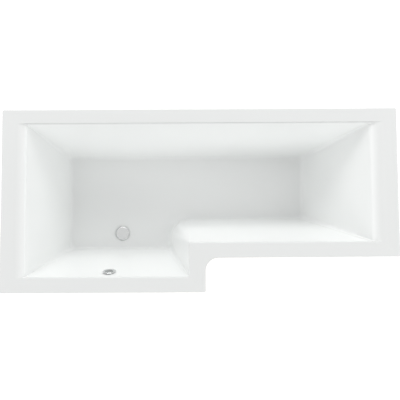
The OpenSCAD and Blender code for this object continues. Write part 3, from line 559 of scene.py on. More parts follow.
def ringPoints(depth, flat=None):
    # every station's outline: corner arcs o - r leave cos a + r arrive sin a, where o is the corner plus
    # r (leave - arrive), and points along the sides. The face's floor falls from the right end to the
    # waste's end; flat puts a level floor that far lower
    rows, radii = sideRows(depth)
    sunk = (rows[lastSide] + rows - faceRows[lastSide] - faceRows)[..., 0] / 2
    r = np.maximum(0.8, radii + outwards * sunk)[..., None, None]
    inset = rows[..., 0]
    halfL, halfW = shell["length"] / 2, shell["width"] / 2
    vx = np.stack([inset[0] - halfL, inset[0] - halfL, stepX - inset[2], stepX - inset[2],
                   halfL - inset[4], halfL - inset[4]])
    vy = np.stack([halfW - inset[5], inset[1] - halfW, inset[1] - halfW, narrowY + inset[3],
                   narrowY + inset[3], halfW - inset[5]])
    v = np.stack([vx, vy], -1)[:, :, None]
    a = np.linspace(0, np.pi / 2, counts["arc"] + 1)[None, None, :, None]
    goIn, goOut = arrive[:, None, None], leave[:, None, None]
    xy = v + r * (goOut - goIn) - r * goOut * np.cos(a) + r * goIn * np.sin(a)
    part = (a * 2 / np.pi)[..., 0]
    z = lerp(rows[lastSide][:, :, None, 1], rows[:, :, None, 1], part)
    corner = np.concatenate([xy, z[..., None]], -1)          # side, station, place, xyz

    def along(side, count):
        f = even(count)[None, :, None]
        return lerp(corner[side][:, -1:], corner[(side + 1) % 6][:, :1], f)

    def atX(side, x):
        start, end = corner[side][:, -1], corner[(side + 1) % 6][:, 0]
        f = (np.broadcast_to(x, (len(start), np.shape(x)[-1])) - start[:, :1]) / (end - start)[:, :1]
        return lerp(start[:, None], end[:, None], f[..., None])

    blockX = overflowAt[0] + blockHalf * np.linspace(-1, 1, counts["block"] + 1)
    leftOf = lerp(corner[1][:, -1, 0][:, None], blockX[0], even(counts["beforeBlock"]))
    rightOf = lerp(blockX[-1], corner[2][:, 0, 0][:, None], even(counts["afterBlock"]))
    front = along(3, counts["front"])
    backX = np.concatenate([corner[3][:, 1:, 0], front[..., 0]], 1)[:, ::-1]
    back = np.concatenate([atX(5, backX), atX(5, np.array([splitX]))], 1)
    rest = atX(5, lerp(splitX, corner[0][:, 0, 0][:, None], even(counts["rest"])))
    parts = [corner[0], along(0, counts["left"]), corner[1], atX(1, leftOf), atX(1, blockX),
             atX(1, rightOf), corner[2], along(2, counts["step"]), corner[3], front, corner[4],
             along(4, counts["right"]), corner[5], back, rest]
    starts = np.cumsum([0] + [p.shape[1] for p in parts])
    ring = np.concatenate(parts, 1)
    foot = ring[-footRows:]
    if flat is None:
        foot[..., 2] += shell["longFall"] * np.maximum(0, foot[..., 0] - splitX) / (floorEnd - splitX)
    else:
        foot[..., 2] -= flat
    marks = {"block": starts[4], "bend": starts[8], "end": starts[11], "corner5": starts[12],
             "split": starts[14] - 1}
    return ring, marks


def wallFractions(depth):
    # rows down the wall: close together over the overflow's block, wider apart elsewhere
    rows = sideRows(depth)[0][1]
    top, bottom = rows[-footRows - 1], rows[-footRows]
    length = np.linalg.norm(bottom - top)
    normal = np.array([leanCosine, leanSine])
    centre = np.array([overflowY + shell["width"] / 2, shell["overflowHeight"]]) - depth * normal
    place = ((centre - top) * (bottom - top)).sum() / length
    square = (place + blockHalf * np.linspace(-1, 1, counts["block"] + 1)) / length
    return np.concatenate([[0.012, 0.03], square, np.linspace(square[-1], 0.97, counts["wall"])[1:], [0.99]])


def floorPatches(ring, marks, hubZ, holeRows):
    # the wide end's floor runs straight from the wall foot to the waste; the long floor is ruled across
    middle = np.array(shell["waste"])
    lower = ring[marks["bend"]:marks["end"]]
    upper = ring[marks["corner5"]:marks["split"] + 1][::-1]
    long = lerp(lower[None], upper[None], np.linspace(0, 1, counts["right"] + 2)[:, None, None])
    chain = np.concatenate([ring[marks["split"]:], ring[:marks["bend"]], long[:-1, 0]])
    away = chain[:, :2] - middle
    reach = np.linalg.norm(away, axis=1)
    heading = away / reach[:, None]
    parts = (1 - np.linspace(0, 1, counts["fan"]) ** 0.8)[:, None]
    r = lerp(holeRows[0], reach[None], parts)
    z = hubZ + (chain[:, 2] - hubZ) * r / reach
    fan = np.concatenate([middle + heading * r[..., None], z[..., None]], -1)
    radius, height = np.array(holeRows[1], float).T[..., None]
    hole = np.concatenate([middle + heading * radius[..., None],
                           np.broadcast_to(height, (len(radius), len(chain)))[..., None]], -1)
    wide = np.concatenate([fan, hole])
    return [patch(long), patch(wide, closeColumns=True)], wide[-1]


def moulding(depth, holeRows, flat=None, start=None, roughen=None):
    # one skin of the moulding from its first station to the waste hole, with the overflow hole cut in;
    # holeRows is the radius where the floor's fan ends and (radius, height) rows from there on. The
    # backing's skins start part-way down the wall instead
    ring, marks = ringPoints(depth, flat)
    top, bottom = ring[-footRows - 1], ring[-footRows]
    if start is None:
        lip, brow = ring[:rimRows], ring[rimRows:-footRows]
        rim = lerp(lip[-1:], brow[:1], np.array([0.08, 0.3, 0.6, 0.9])[:, None, None])
        upper = np.concatenate([lip, rim, brow])
        fractions = wallFractions(depth)[:, None, None]
    else:
        upper = ring[:0]
        fractions = lerp(start, 1, np.linspace(0, 0.98, counts["backingWall"])[:, None, None])
    wall = lerp(top[None], bottom[None], fractions)
    rows = np.concatenate([upper, wall, ring[-footRows:]])
    if roughen is not None:
        rows = roughen(rows)
    centre = overflowAt - depth * wallTurn[:, 2]
    patches, hole = [], None
    keep = np.ones((len(rows) - 1, rows.shape[1]), bool)
    if start is None:
        firstRow, firstColumn, cells = len(upper) + 2, marks["block"], counts["block"]
        keep[firstRow:firstRow + cells, firstColumn:firstColumn + cells] = False
        square = rows[firstRow:firstRow + cells + 1, firstColumn:firstColumn + cells + 1]
        border = np.concatenate([square[0, :-1], square[:-1, -1], square[-1, :0:-1], square[:0:-1, 0]])
        spoke = border - centre
        spoke -= (spoke @ wallTurn[:, 2])[:, None] * wallTurn[:, 2]
        hole = centre + spoke / np.linalg.norm(spoke, axis=1, keepdims=True) * shell["overflowHole"]
        steps = np.array([0, 0.3, 0.6, 0.85, 1])[:, None, None]
        patches = [patch(lerp(border[None], hole[None], steps), closeColumns=True)]
    floors, wasteLoop = floorPatches(rows[-1], marks, floorZ - shell["wasteFall"] - depth, holeRows)
    patches = [patch(rows, closeColumns=True, keep=keep)] + patches + floors
    return patches, rows[0], hole, wasteLoop


def joined(a, b):
    # a strip between two loops of as many points
    return patch(np.stack([a, b]), closeColumns=True)


def bathShell():
    # the sheet's face and underside, joined along the lip's cut edge and round both holes
    r, hole, boss = shell["recess"], shell["wasteHole"], shell["boss"]
    hub = floorZ - shell["wasteFall"]
    seatZ = hub - shell["recessDepth"]
    face = moulding(0, (r + 2, [(r + 0.9, hub - 0.03), (r + 0.25, hub - 0.3), (r, hub - 0.9),
                                (r, seatZ + 0.9), (r - 0.9, seatZ), (hole + 0.6, seatZ),
                                (hole, seatZ - 0.6)]))
    thick = shell["sheet"]
    hub, seatZ = hub - thick, seatZ - thick
    under = moulding(thick, (boss + 3.5, [(boss + 1.2, hub - 0.9), (boss, hub - 2.2), (boss, seatZ + 0.8),
                                          (boss - 0.8, seatZ), (hole + 0.3, seatZ), (hole, seatZ + 0.3)]))
    makePiece("bathShell", face[0] + under[0] + [joined(a, b) for a, b in zip(face[1:], under[1:])],
              "acrylic", "bath_shell", crease=42)


bathShell()
print("bath shell made")


def stood(loop, levels, place=(0, 0, 0), turn=None):
    # an outline stood up through (height, inset) levels: each corner moves in by inset along its mitre
    loop = np.asarray(loop, float)
    edges = [loop - np.roll(loop, 1, 0), np.roll(loop, -1, 0) - loop]
    n1, n2 = (np.stack([-e[:, 1], e[:, 0]], -1) / np.linalg.norm(e, axis=1, keepdims=True) for e in edges)
    mitre = (n1 + n2) / (1 + (n1 * n2).sum(1, keepdims=True))
    levels = np.asarray(levels, float)
    flat = loop[None] + mitre[None] * levels[:, 1, None, None]
    points = np.concatenate([flat, np.broadcast_to(levels[:, :1, None], flat.shape[:2] + (1,))], -1)
    return placed(points, place, turn)


alongX = np.array([[0, 0, 1], [1, 0, 0], [0, 1, 0]])       # an outline in (y, z) stood up along X
alongY = np.array([[1, 0, 0], [0, 0, 1], [0, 1, 0]])       # an outline in (x, z) stood up along Y


def eased(start, end, ease):
    # levels of a bar whose ends are rounded over by the ease
    return [(start, ease), (start + ease * 0.3, ease * 0.3), (start + ease, 0),
            (end - ease, 0), (end - ease * 0.3, ease * 0.3), (end, ease)]


def easedBar(lo, hi, along, ease):
    # a bar with eased long edges and ends, lying between two corners
    a, b, c = {"x": (1, 2, 0), "y": (0, 2, 1)}[along]
    section = [(lo[a], lo[b]), (hi[a], lo[b]), (hi[a], hi[b]), (lo[a], hi[b])]
    return stood(softened(section, ease, 4, closed=True), eased(lo[c], hi[c], ease),
                 turn={"x": alongX, "y": alongY}[along])


def hexagon(a, flats):
    # distance from the middle to a hexagon's side at angle a: half the flats over the cosine of the
    # angle to the nearest flat
    return flats / 2 / np.cos((a + np.pi / 6) % (np.pi / 3) - np.pi / 6)


def hexNut(flats, height, bore, place, turn=None):
    # the smaller of a hexagon and a cone opening from each face, round a bore with a lead at both ends
    steps = 48
    z = height * np.array([0, 0.03, 0.07, 0.12, 0.18, 0.82, 0.88, 0.93, 0.97, 1])
    coneStart, coneSlope = 0.478 * flats, 1.7
    cone = coneStart + np.minimum(z, height - z) * coneSlope
    outer = np.minimum(hexagon(fullTurn(steps), flats)[None], cone[:, None])
    lead = 0.5 if bore > 0 else 0
    inner = np.array([bore + lead, bore, bore, bore + lead])
    radius = np.concatenate([outer, np.repeat(inner[:, None], steps, 1)])
    heights = np.concatenate([z, [height, height - lead, lead, 0]])[:, None]
    return swung(radius, heights, place, turn, loop=True)


def threaded(pitch, deep, start, end, radius):
    # a screw thread: the radius falls by a triangle wave of (height / pitch - angle / full turn), faded
    # at both ends
    def shape(a, height):
        wave = np.abs(((height / pitch - a / (2 * np.pi)) % 1) * 2 - 1)
        fade = np.clip((height - start) / pitch, 0, 1) * np.clip((end - height) / pitch, 0, 1)
        return 1 - deep / radius * np.clip(wave * 1.3 - 0.15, 0, 1) * fade
    return shape


def onRows(shape, start, end):
    # the shape on rows start to end of a profile, and 1 on the others
    def partly(a, height):
        row = np.arange(len(height))[:, None]
        return np.where((row >= start) & (row < end), shape(a, height), 1.0)
    return partly


def threadRows(radius, start, end, pitch):
    # five rows to each turn of the thread
    return [(radius, z) for z in np.arange(start, end, pitch / 5)]


screw = {"head": 4, "rise": 2.4, "arm": 0.17, "armEdge": 0.06, "reach": 0.6, "reachEdge": 0.12, "deep": 0.6,
         "shank": [(1.9, 0), (1.9, -9), (1.5, -11), (0.2, -14), (0, -14)]}


def woodScrews(places):
    # screws seen from below, each with a pan head whose height falls with the cube of the radius, less
    # a cross-shaped recess, on a tapering shank
    part = np.array([0, 0.08, 0.14, 0.2, 0.27, 0.34, 0.41, 0.48, 0.55, 0.63, 0.72, 0.82, 0.92, 0.98, 1, 1])
    part, a = part[:, None], fullTurn(48)[None]
    x, y = np.abs(part * np.cos(a)), np.abs(part * np.sin(a))
    cross = (np.clip((screw["arm"] - np.minimum(x, y)) / screw["armEdge"], 0, 1)
             * np.clip((screw["reach"] - part) / screw["reachEdge"], 0, 1))
    fall = 0.4 * part ** 3
    fall[-1] = 0.999
    z = screw["rise"] * (1 - fall - cross * screw["deep"])
    shank = np.array(screw["shank"], float)
    radii = np.concatenate([np.broadcast_to(screw["head"] * part, z.shape), np.repeat(shank[:, :1], 48, 1)])
    heights = np.concatenate([z, np.repeat(shank[:, 1:], 48, 1)])
    return [swung(radii, heights, place, np.diag([1.0, -1, -1])) for place in places]


def drilled(piece, holes):
    # round holes cut through a piece: each is (place, axis, radius, length)
    for place, axis, radius, length in holes:
        mesh = bpy.data.meshes.new("drill")
        work = bmesh.new()
        bmesh.ops.create_cone(work, cap_ends=True, segments=32, radius1=radius * 0.001,
                              radius2=radius * 0.001, depth=length * 0.001)
        work.to_mesh(mesh)
        work.free()
        drill = shown("drill", mesh)
        drill.matrix_world = (Matrix.Translation(Vector(place) * 0.001)
                              @ Vector(axis).to_track_quat("Z", "Y").to_matrix().to_4x4())
        cutter = piece.modifiers.new("drill", "BOOLEAN")
        cutter.object, cutter.solver = drill, "EXACT"
        bpy.context.view_layer.update()
        cut = bpy.data.meshes.new_from_object(piece.evaluated_get(bpy.context.evaluated_depsgraph_get()))
        piece.modifiers.remove(cutter)
        piece.data = cut
        cut.set_sharp_from_angle(angle=math.radians(usualCrease))
        bpy.data.objects.remove(drill)


# the glass-fibre backing
backing = {"top": 507, "wave": 1.6, "notch": 23.5, "lump": 0.55, "boss": 1, "fadeFrom": 4, "fade": 24}


def backingStart():
    # where the backing begins on each column, as a fraction of the wall: a hand-trimmed wavy edge that
    # dips under the overflow hole
    ring = ringPoints(0)[0]
    top, bottom = ring[-footRows - 1], ring[-footRows]
    x, y = top[:, 0], top[:, 1]
    edge = backing["top"] + backing["wave"] * (np.sin(0.021 * x + 0.5) + 0.6 * np.sin(0.067 * y + 1.3)
                                               + 0.5 * np.sin(0.09 * x))
    away = np.where(y < -0.3 * shell["width"], np.abs(x - overflowAt[0]), np.inf)
    notch = shell["overflowHeight"] - np.sqrt(np.clip(backing["notch"] ** 2 - away ** 2, 0, None))
    edge = np.where(away < backing["notch"] + 1, np.minimum(edge, notch), edge)
    return ((top[:, 2] - edge) / (top[:, 2] - bottom[:, 2]))[:, None]


def lumpy(rows):
    # the hand-rolled outside: each point moves along the grid's own normal by a product of sines
    across = np.roll(rows, -1, 1) - np.roll(rows, 1, 1)
    downwards = np.gradient(rows, axis=0)
    normal = np.cross(across, downwards)
    normal /= np.linalg.norm(normal, axis=2, keepdims=True)
    x, y, z = np.moveaxis(rows, 2, 0)
    lump = (np.sin(0.043 * x + 0.7) * np.sin(0.051 * z + 0.03 * y) + 0.6 * np.sin(0.11 * x + 0.07 * y)
            * np.sin(0.13 * z + 1.1) + 0.4 * np.sin(0.23 * x - 0.19 * z) * np.sin(0.21 * y + 0.17 * z))
    fade = np.clip((z - floorZ - backing["fadeFrom"]) / backing["fade"], 0, 1)
    return rows + normal * (lump * backing["lump"] * fade)[..., None]


def grpBacking():
    # two skins from the trimmed edge to the waste hole, the inner one a bond line under the sheet
    inner, outer = shell["sheet"] + shell["bond"], shell["backing"]
    start = backingStart()
    hub, boss = floorZ - shell["wasteFall"], shell["boss"] + backing["boss"]
    near = moulding(inner, (boss + 6, [(boss + 2, hub - inner), (boss, hub - inner)]), start=start)
    far = moulding(outer, (boss + 6, [(boss + 3, hub - outer), (boss + 0.8, hub - outer + 0.3),
                                      (boss, hub - outer + 1.2)]),
                   flat=shell["wasteFall"], start=start, roughen=lumpy)
    makePiece("glassFibreBacking", near[0] + far[0] + [joined(near[1], far[1]), joined(near[3], far[3])],
              "glassFibre", "grp_reinforcement")


grpBacking()
print("backing made")

# the baseboard under the backing, and the battens under the rim, a gap in from its outside
board = {"top": floorZ - (shell["wasteFall"] + shell["backing"] + shell["bond"]), "thick": 18,
         "inset": 15, "notch": 58, "ease": 0.8}
timber = {"top": shell["rim"] - shell["rimFall"] - shell["sheet"] - shell["bond"], "gap": 8, "width": 40,
          "height": 20, "join": 0.3, "ease": 1.4}


def baseboardPiece():
    # the board's outline: six corners and a slot that runs from the wide front edge round the waste
    s = board
    inset = faceRows[:, -1, 0] + s["inset"]
    left, right = inset[0] - shell["length"] / 2, shell["length"] / 2 - inset[4]
    back, front = shell["width"] / 2 - inset[5], inset[1] - shell["width"] / 2
    step, narrow = stepX - inset[2], narrowY + inset[3]
    x, y = shell["waste"]
    a = np.linspace(np.pi, 0, 33)
    slot = np.stack([x + s["notch"] * np.cos(a), y + s["notch"] * np.sin(a)], -1)
    loop = np.concatenate([[(left, back), (left, front), (x - s["notch"], front)], slot,
                           [(x + s["notch"], front), (step, front), (step, narrow), (right, narrow),
                            (right, back)]])
    levels = eased(s["top"] - s["thick"], s["top"], s["ease"])
    makePiece("baseboardPanel", [stood(loop, levels)], "chipboard", "baseboard", capped=True)


def timberFrame():
    # six battens butted at the corners, every long edge eased
    s = timber
    w, j, g = s["width"], s["join"], s["gap"]
    halfL, halfW = shell["length"] / 2 - g, shell["width"] / 2 - g
    stepAt, narrowAt = stepX - g, narrowY + g
    runs = {"batten_back": (-halfL, halfL, halfW - w, halfW, "x"),
            "batten_left": (-halfL, w - halfL, -halfW, halfW - w - j, "y"),
            "batten_right": (halfL - w, halfL, narrowAt, halfW - w - j, "y"),
            "batten_front_wide": (w + j - halfL, stepAt, -halfW, w - halfW, "x"),
            "batten_step": (stepAt - w, stepAt, w + j - halfW, narrowAt + w, "y"),
            "batten_front_narrow": (stepAt + j, halfL - w - j, narrowAt, narrowAt + w, "x")}
    for node, (x0, x1, y0, y1, along) in runs.items():
        bar = easedBar((x0, y0, s["top"] - s["height"]), (x1, y1, s["top"]), along, s["ease"])
        makePiece("timber_" + node, [bar], "woodX" if along == "x" else "woodY", node, capped=True)


baseboardPiece()
timberFrame()
print("baseboard and rim frame made")

# the cradle under the board, with a foot near each end of both bars and one in the middle
legs = {"top": board["top"] - board["thick"], "sheet": 2, "barWidth": 40, "barHeight": 22, "fold": 3.2,
        "barX": (-560, 385), "barStart": (-330.5, -185.5), "barEnd": 330.5, "footInset": 28,
        "centre": (stepX - 90, (shell["width"] / 2 + narrowY) / 2), "plate": 90, "plateCorner": 8,
        "sleeve": 8.5, "sleeveLength": 52, "weld": 4.2, "ripples": 26, "bore": 5.06, "nut": 17,
        "nutHeight": 8, "screwInset": 25, "screwSpread": 33}
feet = [(x, y) for x, start in zip(legs["barX"], legs["barStart"])
        for y in (start + legs["footInset"], legs["barEnd"] - legs["footInset"])] + [legs["centre"]]
# rises are the studs' tops over the cradle's
foot = {"stud": 5, "pitch": 1.5, "thread": 0.75, "low": 5, "rises": (48, 48, 48, 48, -1), "hex": 13,
        "hexFrom": 14, "hexHeight": 6, "pad": 23, "padHeight": 14, "ribs": 24}


def cradleBar(index):
    # a strip folded into a channel: its section's outer bends are wide and its inner ones tight
    s = legs
    w, h, t, fold, x = s["barWidth"] / 2, s["barHeight"], s["sheet"], s["fold"], s["barX"][index]
    section = [(-w, 0), (-w, -h), (t - w, -h), (t - w, -t), (w - t, -t), (w - t, -h), (w, -h), (w, 0)]
    bends = [fold, 0.4, 0.4, fold - t, fold - t, 0.4, 0.4, fold]
    loop = softened(section, bends, 6, closed=True)
    bar = stood(loop, eased(s["barStart"][index], s["barEnd"], 0.25), (x, 0, s["top"]), alongY)
    side = ("left", "right")[index]
    piece = makePiece("cradleBar_" + side, [bar], "zinc", "leg_bar_" + side, capped=True)
    drilled(piece, [((x, y, s["top"] - t / 2), (0, 0, 1), s["bore"], 10) for fx, y in feet if fx == x])


def centreLeg():
    # a square plate with round corners and a hole, and a sleeve welded on: a fillet that ripples round it.
    # The plate's edge is half / cos(angle from the side's middle), and at a corner it is
    # D cos d + sqrt(c^2 - D^2 sin^2 d), with d the angle from the diagonal, c the corner's radius and D
    # the distance to the corner's centre
    s = legs
    half, corner, seat = s["plate"] / 2, s["plateCorner"], s["top"] - s["sheet"]
    r, b, low = s["sleeve"], s["bore"], s["top"] - s["sleeveLength"]
    off = (fullTurn(240) + np.pi / 4) % (np.pi / 2) - np.pi / 4
    d, away = np.pi / 4 - np.abs(off), (half - corner) * math.sqrt(2)
    arc = away * np.cos(d) + np.sqrt(np.clip(corner ** 2 - (away * np.sin(d)) ** 2, 0, None))
    edge = np.where(d < np.pi / 4 - math.atan2(half - corner, half), arc, half / np.cos(off))
    high, inset = np.array(eased(seat, s["top"], 0.3)).T[..., None]
    hole = np.full((1, len(off)), b + 0.4)
    radius = np.concatenate([hole, edge - inset, hole])
    plate = swung(radius, np.concatenate([high[:1], high, high[-1:]]), (*s["centre"], 0), loop=True)
    weld = s["weld"]
    profile = [(b, s["top"]), (b, low + 0.6), (b + 0.6, low), (r - 0.5, low), (r, low + 0.5), (r, seat - 4.5),
               (r + 0.6, seat - 3.6), (r + 1.6, seat - 2.2), (r + 3.0, seat - 1), (r + weld, seat - 0.1),
               (r + weld, seat + 0.4), (b + 1, seat + 0.4)]

    def ripple(a, z):
        return 1 + 0.012 * np.sin(s["ripples"] * a) * (z > seat - 4) * (z < seat - 0.2)

    sleeve = turned(profile, (*s["centre"], 0), 104, wobble=ripple, loop=True)
    makePiece("centreLegPlate", [plate, sleeve], "zinc", "centre_leg")


def lockNuts():
    # two nuts clamp each stud to its bar, one locks the centre stud
    s = legs
    high = s["nutHeight"]
    places = [(x, y, z) for x, y in feet[:4] for z in (s["top"], s["top"] - s["sheet"] - high)]
    places.append((*s["centre"], s["top"] - s["sleeveLength"] - high))
    nuts = [hexNut(s["nut"], high, s["bore"], place) for place in places]
    makePiece("lockNuts", nuts, "zincGold", "lock_nuts", crease=30)


def boardScrews():
    # screws hold the ends of both bars and the plate's corners to the board
    s = legs
    seat = s["top"] - s["sheet"]
    inset = faceRows[:, -1, 0] + board["inset"] + s["screwInset"]
    backY = shell["width"] / 2 - inset[5]
    places = [(s["barX"][0], inset[1] - shell["width"] / 2), (s["barX"][0], backY),
              (s["barX"][1], narrowY + inset[3]), (s["barX"][1], backY)]
    x, y, spread = *s["centre"], s["screwSpread"]
    places += [(x + i * spread, y + j * spread) for i in (-1, 1) for j in (-1, 1)]
    makePiece("boardScrews", woodScrews([(x, y, seat) for x, y in places]), "zincGold", "board_screws",
              crease=30)


def footStud(index):
    # a threaded stud with a spanner hexagon
    s = foot
    x, y = feet[index]
    top, r, seat = legs["top"] + s["rises"][index], s["stud"], s["low"]
    low, high = s["hexFrom"] + s["hexHeight"], top - 1.2
    rows = [(0, seat), (r - 0.6, seat), (r, seat + 0.6), (r, low)]
    rows += threadRows(r, low + 0.2, high, s["pitch"]) + [(r, high), (r - 1, top), (0, top)]
    shape = threaded(s["pitch"], s["thread"], low + 1, high, r)
    stud = turned(rows, (x, y, 0), 18, wobble=shape)
    spanner = hexNut(s["hex"], s["hexHeight"], 0, (x, y, s["hexFrom"]))
    number = str(index + 1)
    makePiece("footStud_" + number, [stud, spanner], "zincGold", "foot_stud_" + number, "foot_" + number,
              crease=34)


def footPad(index):
    # a moulded pad round the stud's foot, with finger scallops round its edge
    s = foot
    r, seat, p, h = s["stud"], s["low"], s["pad"], s["padHeight"]
    socket, number = r + 0.1, str(index + 1)
    profile = [(0, 1.2), (p - 6, 1.2), (p - 5, 0), (p - 1.2, 0), (p - 0.4, 0.4), (p, 1.2), (p, 1.5), (p, 4.9),
               (p, 5.1), (p - 0.6, 5.8), (p - 3, 7.2), (r + 9, 9.8), (r + 6.6, 11.6), (r + 5.8, 12.6),
               (r + 5.3, h - 0.4), (r + 4.8, h), (socket + 0.5, h), (socket, h - 0.5), (socket, seat),
               (0, seat)]

    def grip(a, z):
        return 1 - 0.022 * (np.cos(s["ribs"] * a) > 0.2) * (z > 1.3) * (z < 5.2)

    makePiece("footPad_" + number, [turned(profile, (*feet[index], 0), 120, wobble=grip)], "black",
              "foot_pad_" + number, "foot_" + number, crease=34)


for index in range(2):
    cradleBar(index)
centreLeg()
lockNuts()
boardScrews()
for index in range(len(feet)):
    footStud(index)
    footPad(index)
print("cradle and feet made")

# the two brackets at the back; batten, frame and wall are the faces that they lie against
bracket = {"batten": timber["top"] - timber["height"], "frame": shell["width"] / 2 - timber["gap"],
           "wall": shell["width"] / 2, "top": shell["rim"] - shell["lip"] - 3, "bottom": 475, "foot": 30,
           "x": (-480, 480), "width": 52, "sheet": 2, "fold": 2.6, "holes": 28, "hole": 3}


def wallBracket(index):
    # a bent strip: under the batten, down behind it, out past the lip and down the wall
    s = bracket
    t, fold, near, wall, high, top, low = (s[k] for k in ("sheet", "fold", "frame", "wall", "batten", "top",
                                                          "bottom"))
    start = near - s["foot"]
    section = [(start, high), (near, high), (near, top), (wall, top), (wall, low), (wall - t, low),
               (wall - t, top - t), (near - t, top - t), (near - t, high - t), (start, high - t)]
    bends = [0.4, fold, fold - t, fold, 0.5, 0.5, fold - t, fold, fold - t, 0.4]
    loop = softened(section, bends, 5, closed=True)[::-1]
    middle, half = s["x"][index], s["width"] / 2
    side = ("left", "right")[index]
    piece = makePiece("wallBracket_" + side,
                      [stood(loop, eased(middle - half, middle + half, 0.3), turn=alongX)], "zinc",
                      "wall_bracket_" + side, capped=True)
    drilled(piece, [((middle + k * s["holes"] / 2, wall - t / 2, (top + low) / 2), (0, 1, 0), s["hole"], 8)
                    for k in (-1, 1)])


def bracketScrews():
    # two screws go up through each bracket's foot into the batten
    s = bracket
    y, z = s["frame"] - s["foot"] / 2 - s["sheet"], s["batten"] - s["sheet"]
    places = [(x + k * s["holes"] / 2, y, z) for x in s["x"] for k in (-1, 1)]
    makePiece("bracketScrews", woodScrews(places), "zincGold", "bracket_screws", crease=30)


for index in range(2):
    wallBracket(index)
bracketScrews()
print("wall brackets made")

# the click-clack waste, from its flange down to its tail; it stands in the sheet's recess
wasteSeat = floorZ - shell["wasteFall"] - shell["recessDepth"]
waste = {"seat": wasteSeat, "seal": 1.5, "flange": 34, "flangeHeight": 2.5, "barrel": 22,
         "barrelLength": 22, "barrelPitch": 1.6, "barrelThread": 0.8, "throat": 19.5, "valve": 23.5,
         "valveDrop": 1, "hub": 9, "cartridge": 5.95, "spiderTop": wasteSeat - 1.5, "spider": 6, "spoke": 2,
         "boss": wasteSeat - shell["sheet"], "washer": 38.2, "rubber": 3, "body": 25.06, "chamber": 46,
         "wall": 3, "tail": 23.9, "tailLength": 24, "tailPitch": 2.3, "tailThread": 1.1, "ribs": 8,
         "inlet": 122, "inletLength": 62, "spigot": 11.5, "bore": 8.5, "cartridgeLength": 32, "collar": 16,
         "plunger": 3.5, "plungerFoot": 140.5, "open": 165.4, "cap": 31.5, "capHeight": 3, "turns": 6,
         "wire": 0.9, "coil": 2.95, "coilFrom": 124.0, "coilTo": 140.0}


def atWaste(z=0):
    # a place on the waste's axis
    return (*shell["waste"], z)


def wasteFlange():
    # turned in one: a rounded rim, a seat for the plug's rubber and a threaded barrel; inside it a spider
    # of four spokes carries the cartridge
    s = waste
    low = s["seat"] + s["seal"]
    top = low + s["flangeHeight"]
    seatZ, r, t, b = top - s["valveDrop"], s["flange"], s["throat"], s["barrel"]
    start = low - s["barrelLength"]
    profile = [(b, low - 0.2), (b + 0.3, low), (r - 0.4, low), (r, low + 0.3), (r, low + 1.6),
               (r - 0.12, low + 1.95), (r - 0.4, low + 2.2), (r - 1.2, top - 0.12), (r - 3.2, top),
               (s["valve"] + 0.7, top), (s["valve"], top - 0.12), (t + 2.1, seatZ + 0.05), (t + 0.5, seatZ),
               (t, seatZ - 0.4), (t, start + 0.4), (t + 0.4, start), (b - 0.8, start)]
    plain = len(profile)
    profile += [(b, z) for z in np.arange(start + 0.6, low - 0.4, 0.3)]
    thread = threaded(s["barrelPitch"], s["barrelThread"], start + 0.8, low - 2, b)
    ring = turned(profile, atWaste(), 96, wobble=onRows(thread, plain, len(profile)), loop=True)
    high = s["spiderTop"]
    base, bore, hub = high - s["spider"], s["cartridge"] + 0.05, s["hub"]
    profile = [(bore, base + 0.4), (bore + 0.4, base), (hub - 0.5, base), (hub, base + 0.5),
               (hub, high - 0.5), (hub - 0.5, high), (bore + 0.4, high), (bore, high - 0.4)]
    centre = turned(profile, atWaste(), 64, loop=True)
    w = s["spoke"] / 2
    spoke = softened([(-w, base + 1), (w, base + 1), (w, high - 1), (-w, high - 1)], 0.5, 4, closed=True)
    spokes = []
    for k in range(4):
        a = math.radians(45 + 90 * k)
        turn = np.array([[-math.sin(a), 0, math.cos(a)], [math.cos(a), 0, math.sin(a)], [0, 1, 0]])
        spokes.append(stood(spoke, [(hub - 1, 0), (t + 0.8, 0)], atWaste(), turn))
    makePiece("wasteFlangeRing", [ring, centre] + spokes, "chrome", "waste_flange", capped=True)


def flangeSeal():
    # a thin flat ring under the flange
    s = waste
    z, r, b = s["seat"], s["flange"] - 1, s["barrel"] + 1
    thin = [(b, z + 0.3), (b + 0.3, z), (r - 0.3, z), (r, z + 0.4), (r, z + s["seal"] - 0.4),
            (r - 0.3, z + s["seal"]), (b + 0.3, z + s["seal"]), (b, z + s["seal"] - 0.3)]
    makePiece("flangeSealRing", [turned(thin, atWaste(), 72, loop=True)], "rubber", "flange_seal")


def wasteSeal():
    # a thick washer with a grooved edge, under the bath
    s = waste
    low, high, r, b = s["boss"] - s["rubber"], s["boss"], s["washer"], shell["wasteHole"]
    thick = [(b, low + 0.5), (b + 0.5, low), (r - 0.6, low), (r, low + 0.6), (r - 0.5, (low + high) / 2),
             (r, high - 0.6), (r - 0.6, high), (b + 0.5, high), (b, high - 0.5)]
    makePiece("wasteSealRing", [turned(thick, atWaste(), 72, loop=True)], "rubber", "waste_seal")


towardsFront = np.array([[1, 0, 0], [0, 0, -1], [0, 1, 0]])       # turns local Z to point to the front


def barbs(radius, mouth, way, first):
    # a hose spigot's profile from its mouth on, up (way 1) or down (way -1): three teeth, the first that
    # far from the mouth, then a small step to the plain radius
    rows = [(radius - 1.4, 0.2)]
    for tooth in range(3):
        rows += [(radius - 0.7, first + 4 * tooth), (radius, first + 3.6 + 4 * tooth)]
    rows += [(radius - 0.4, 13.6), (radius, 14)]
    return [(r, mouth + way * z) for r, z in rows]


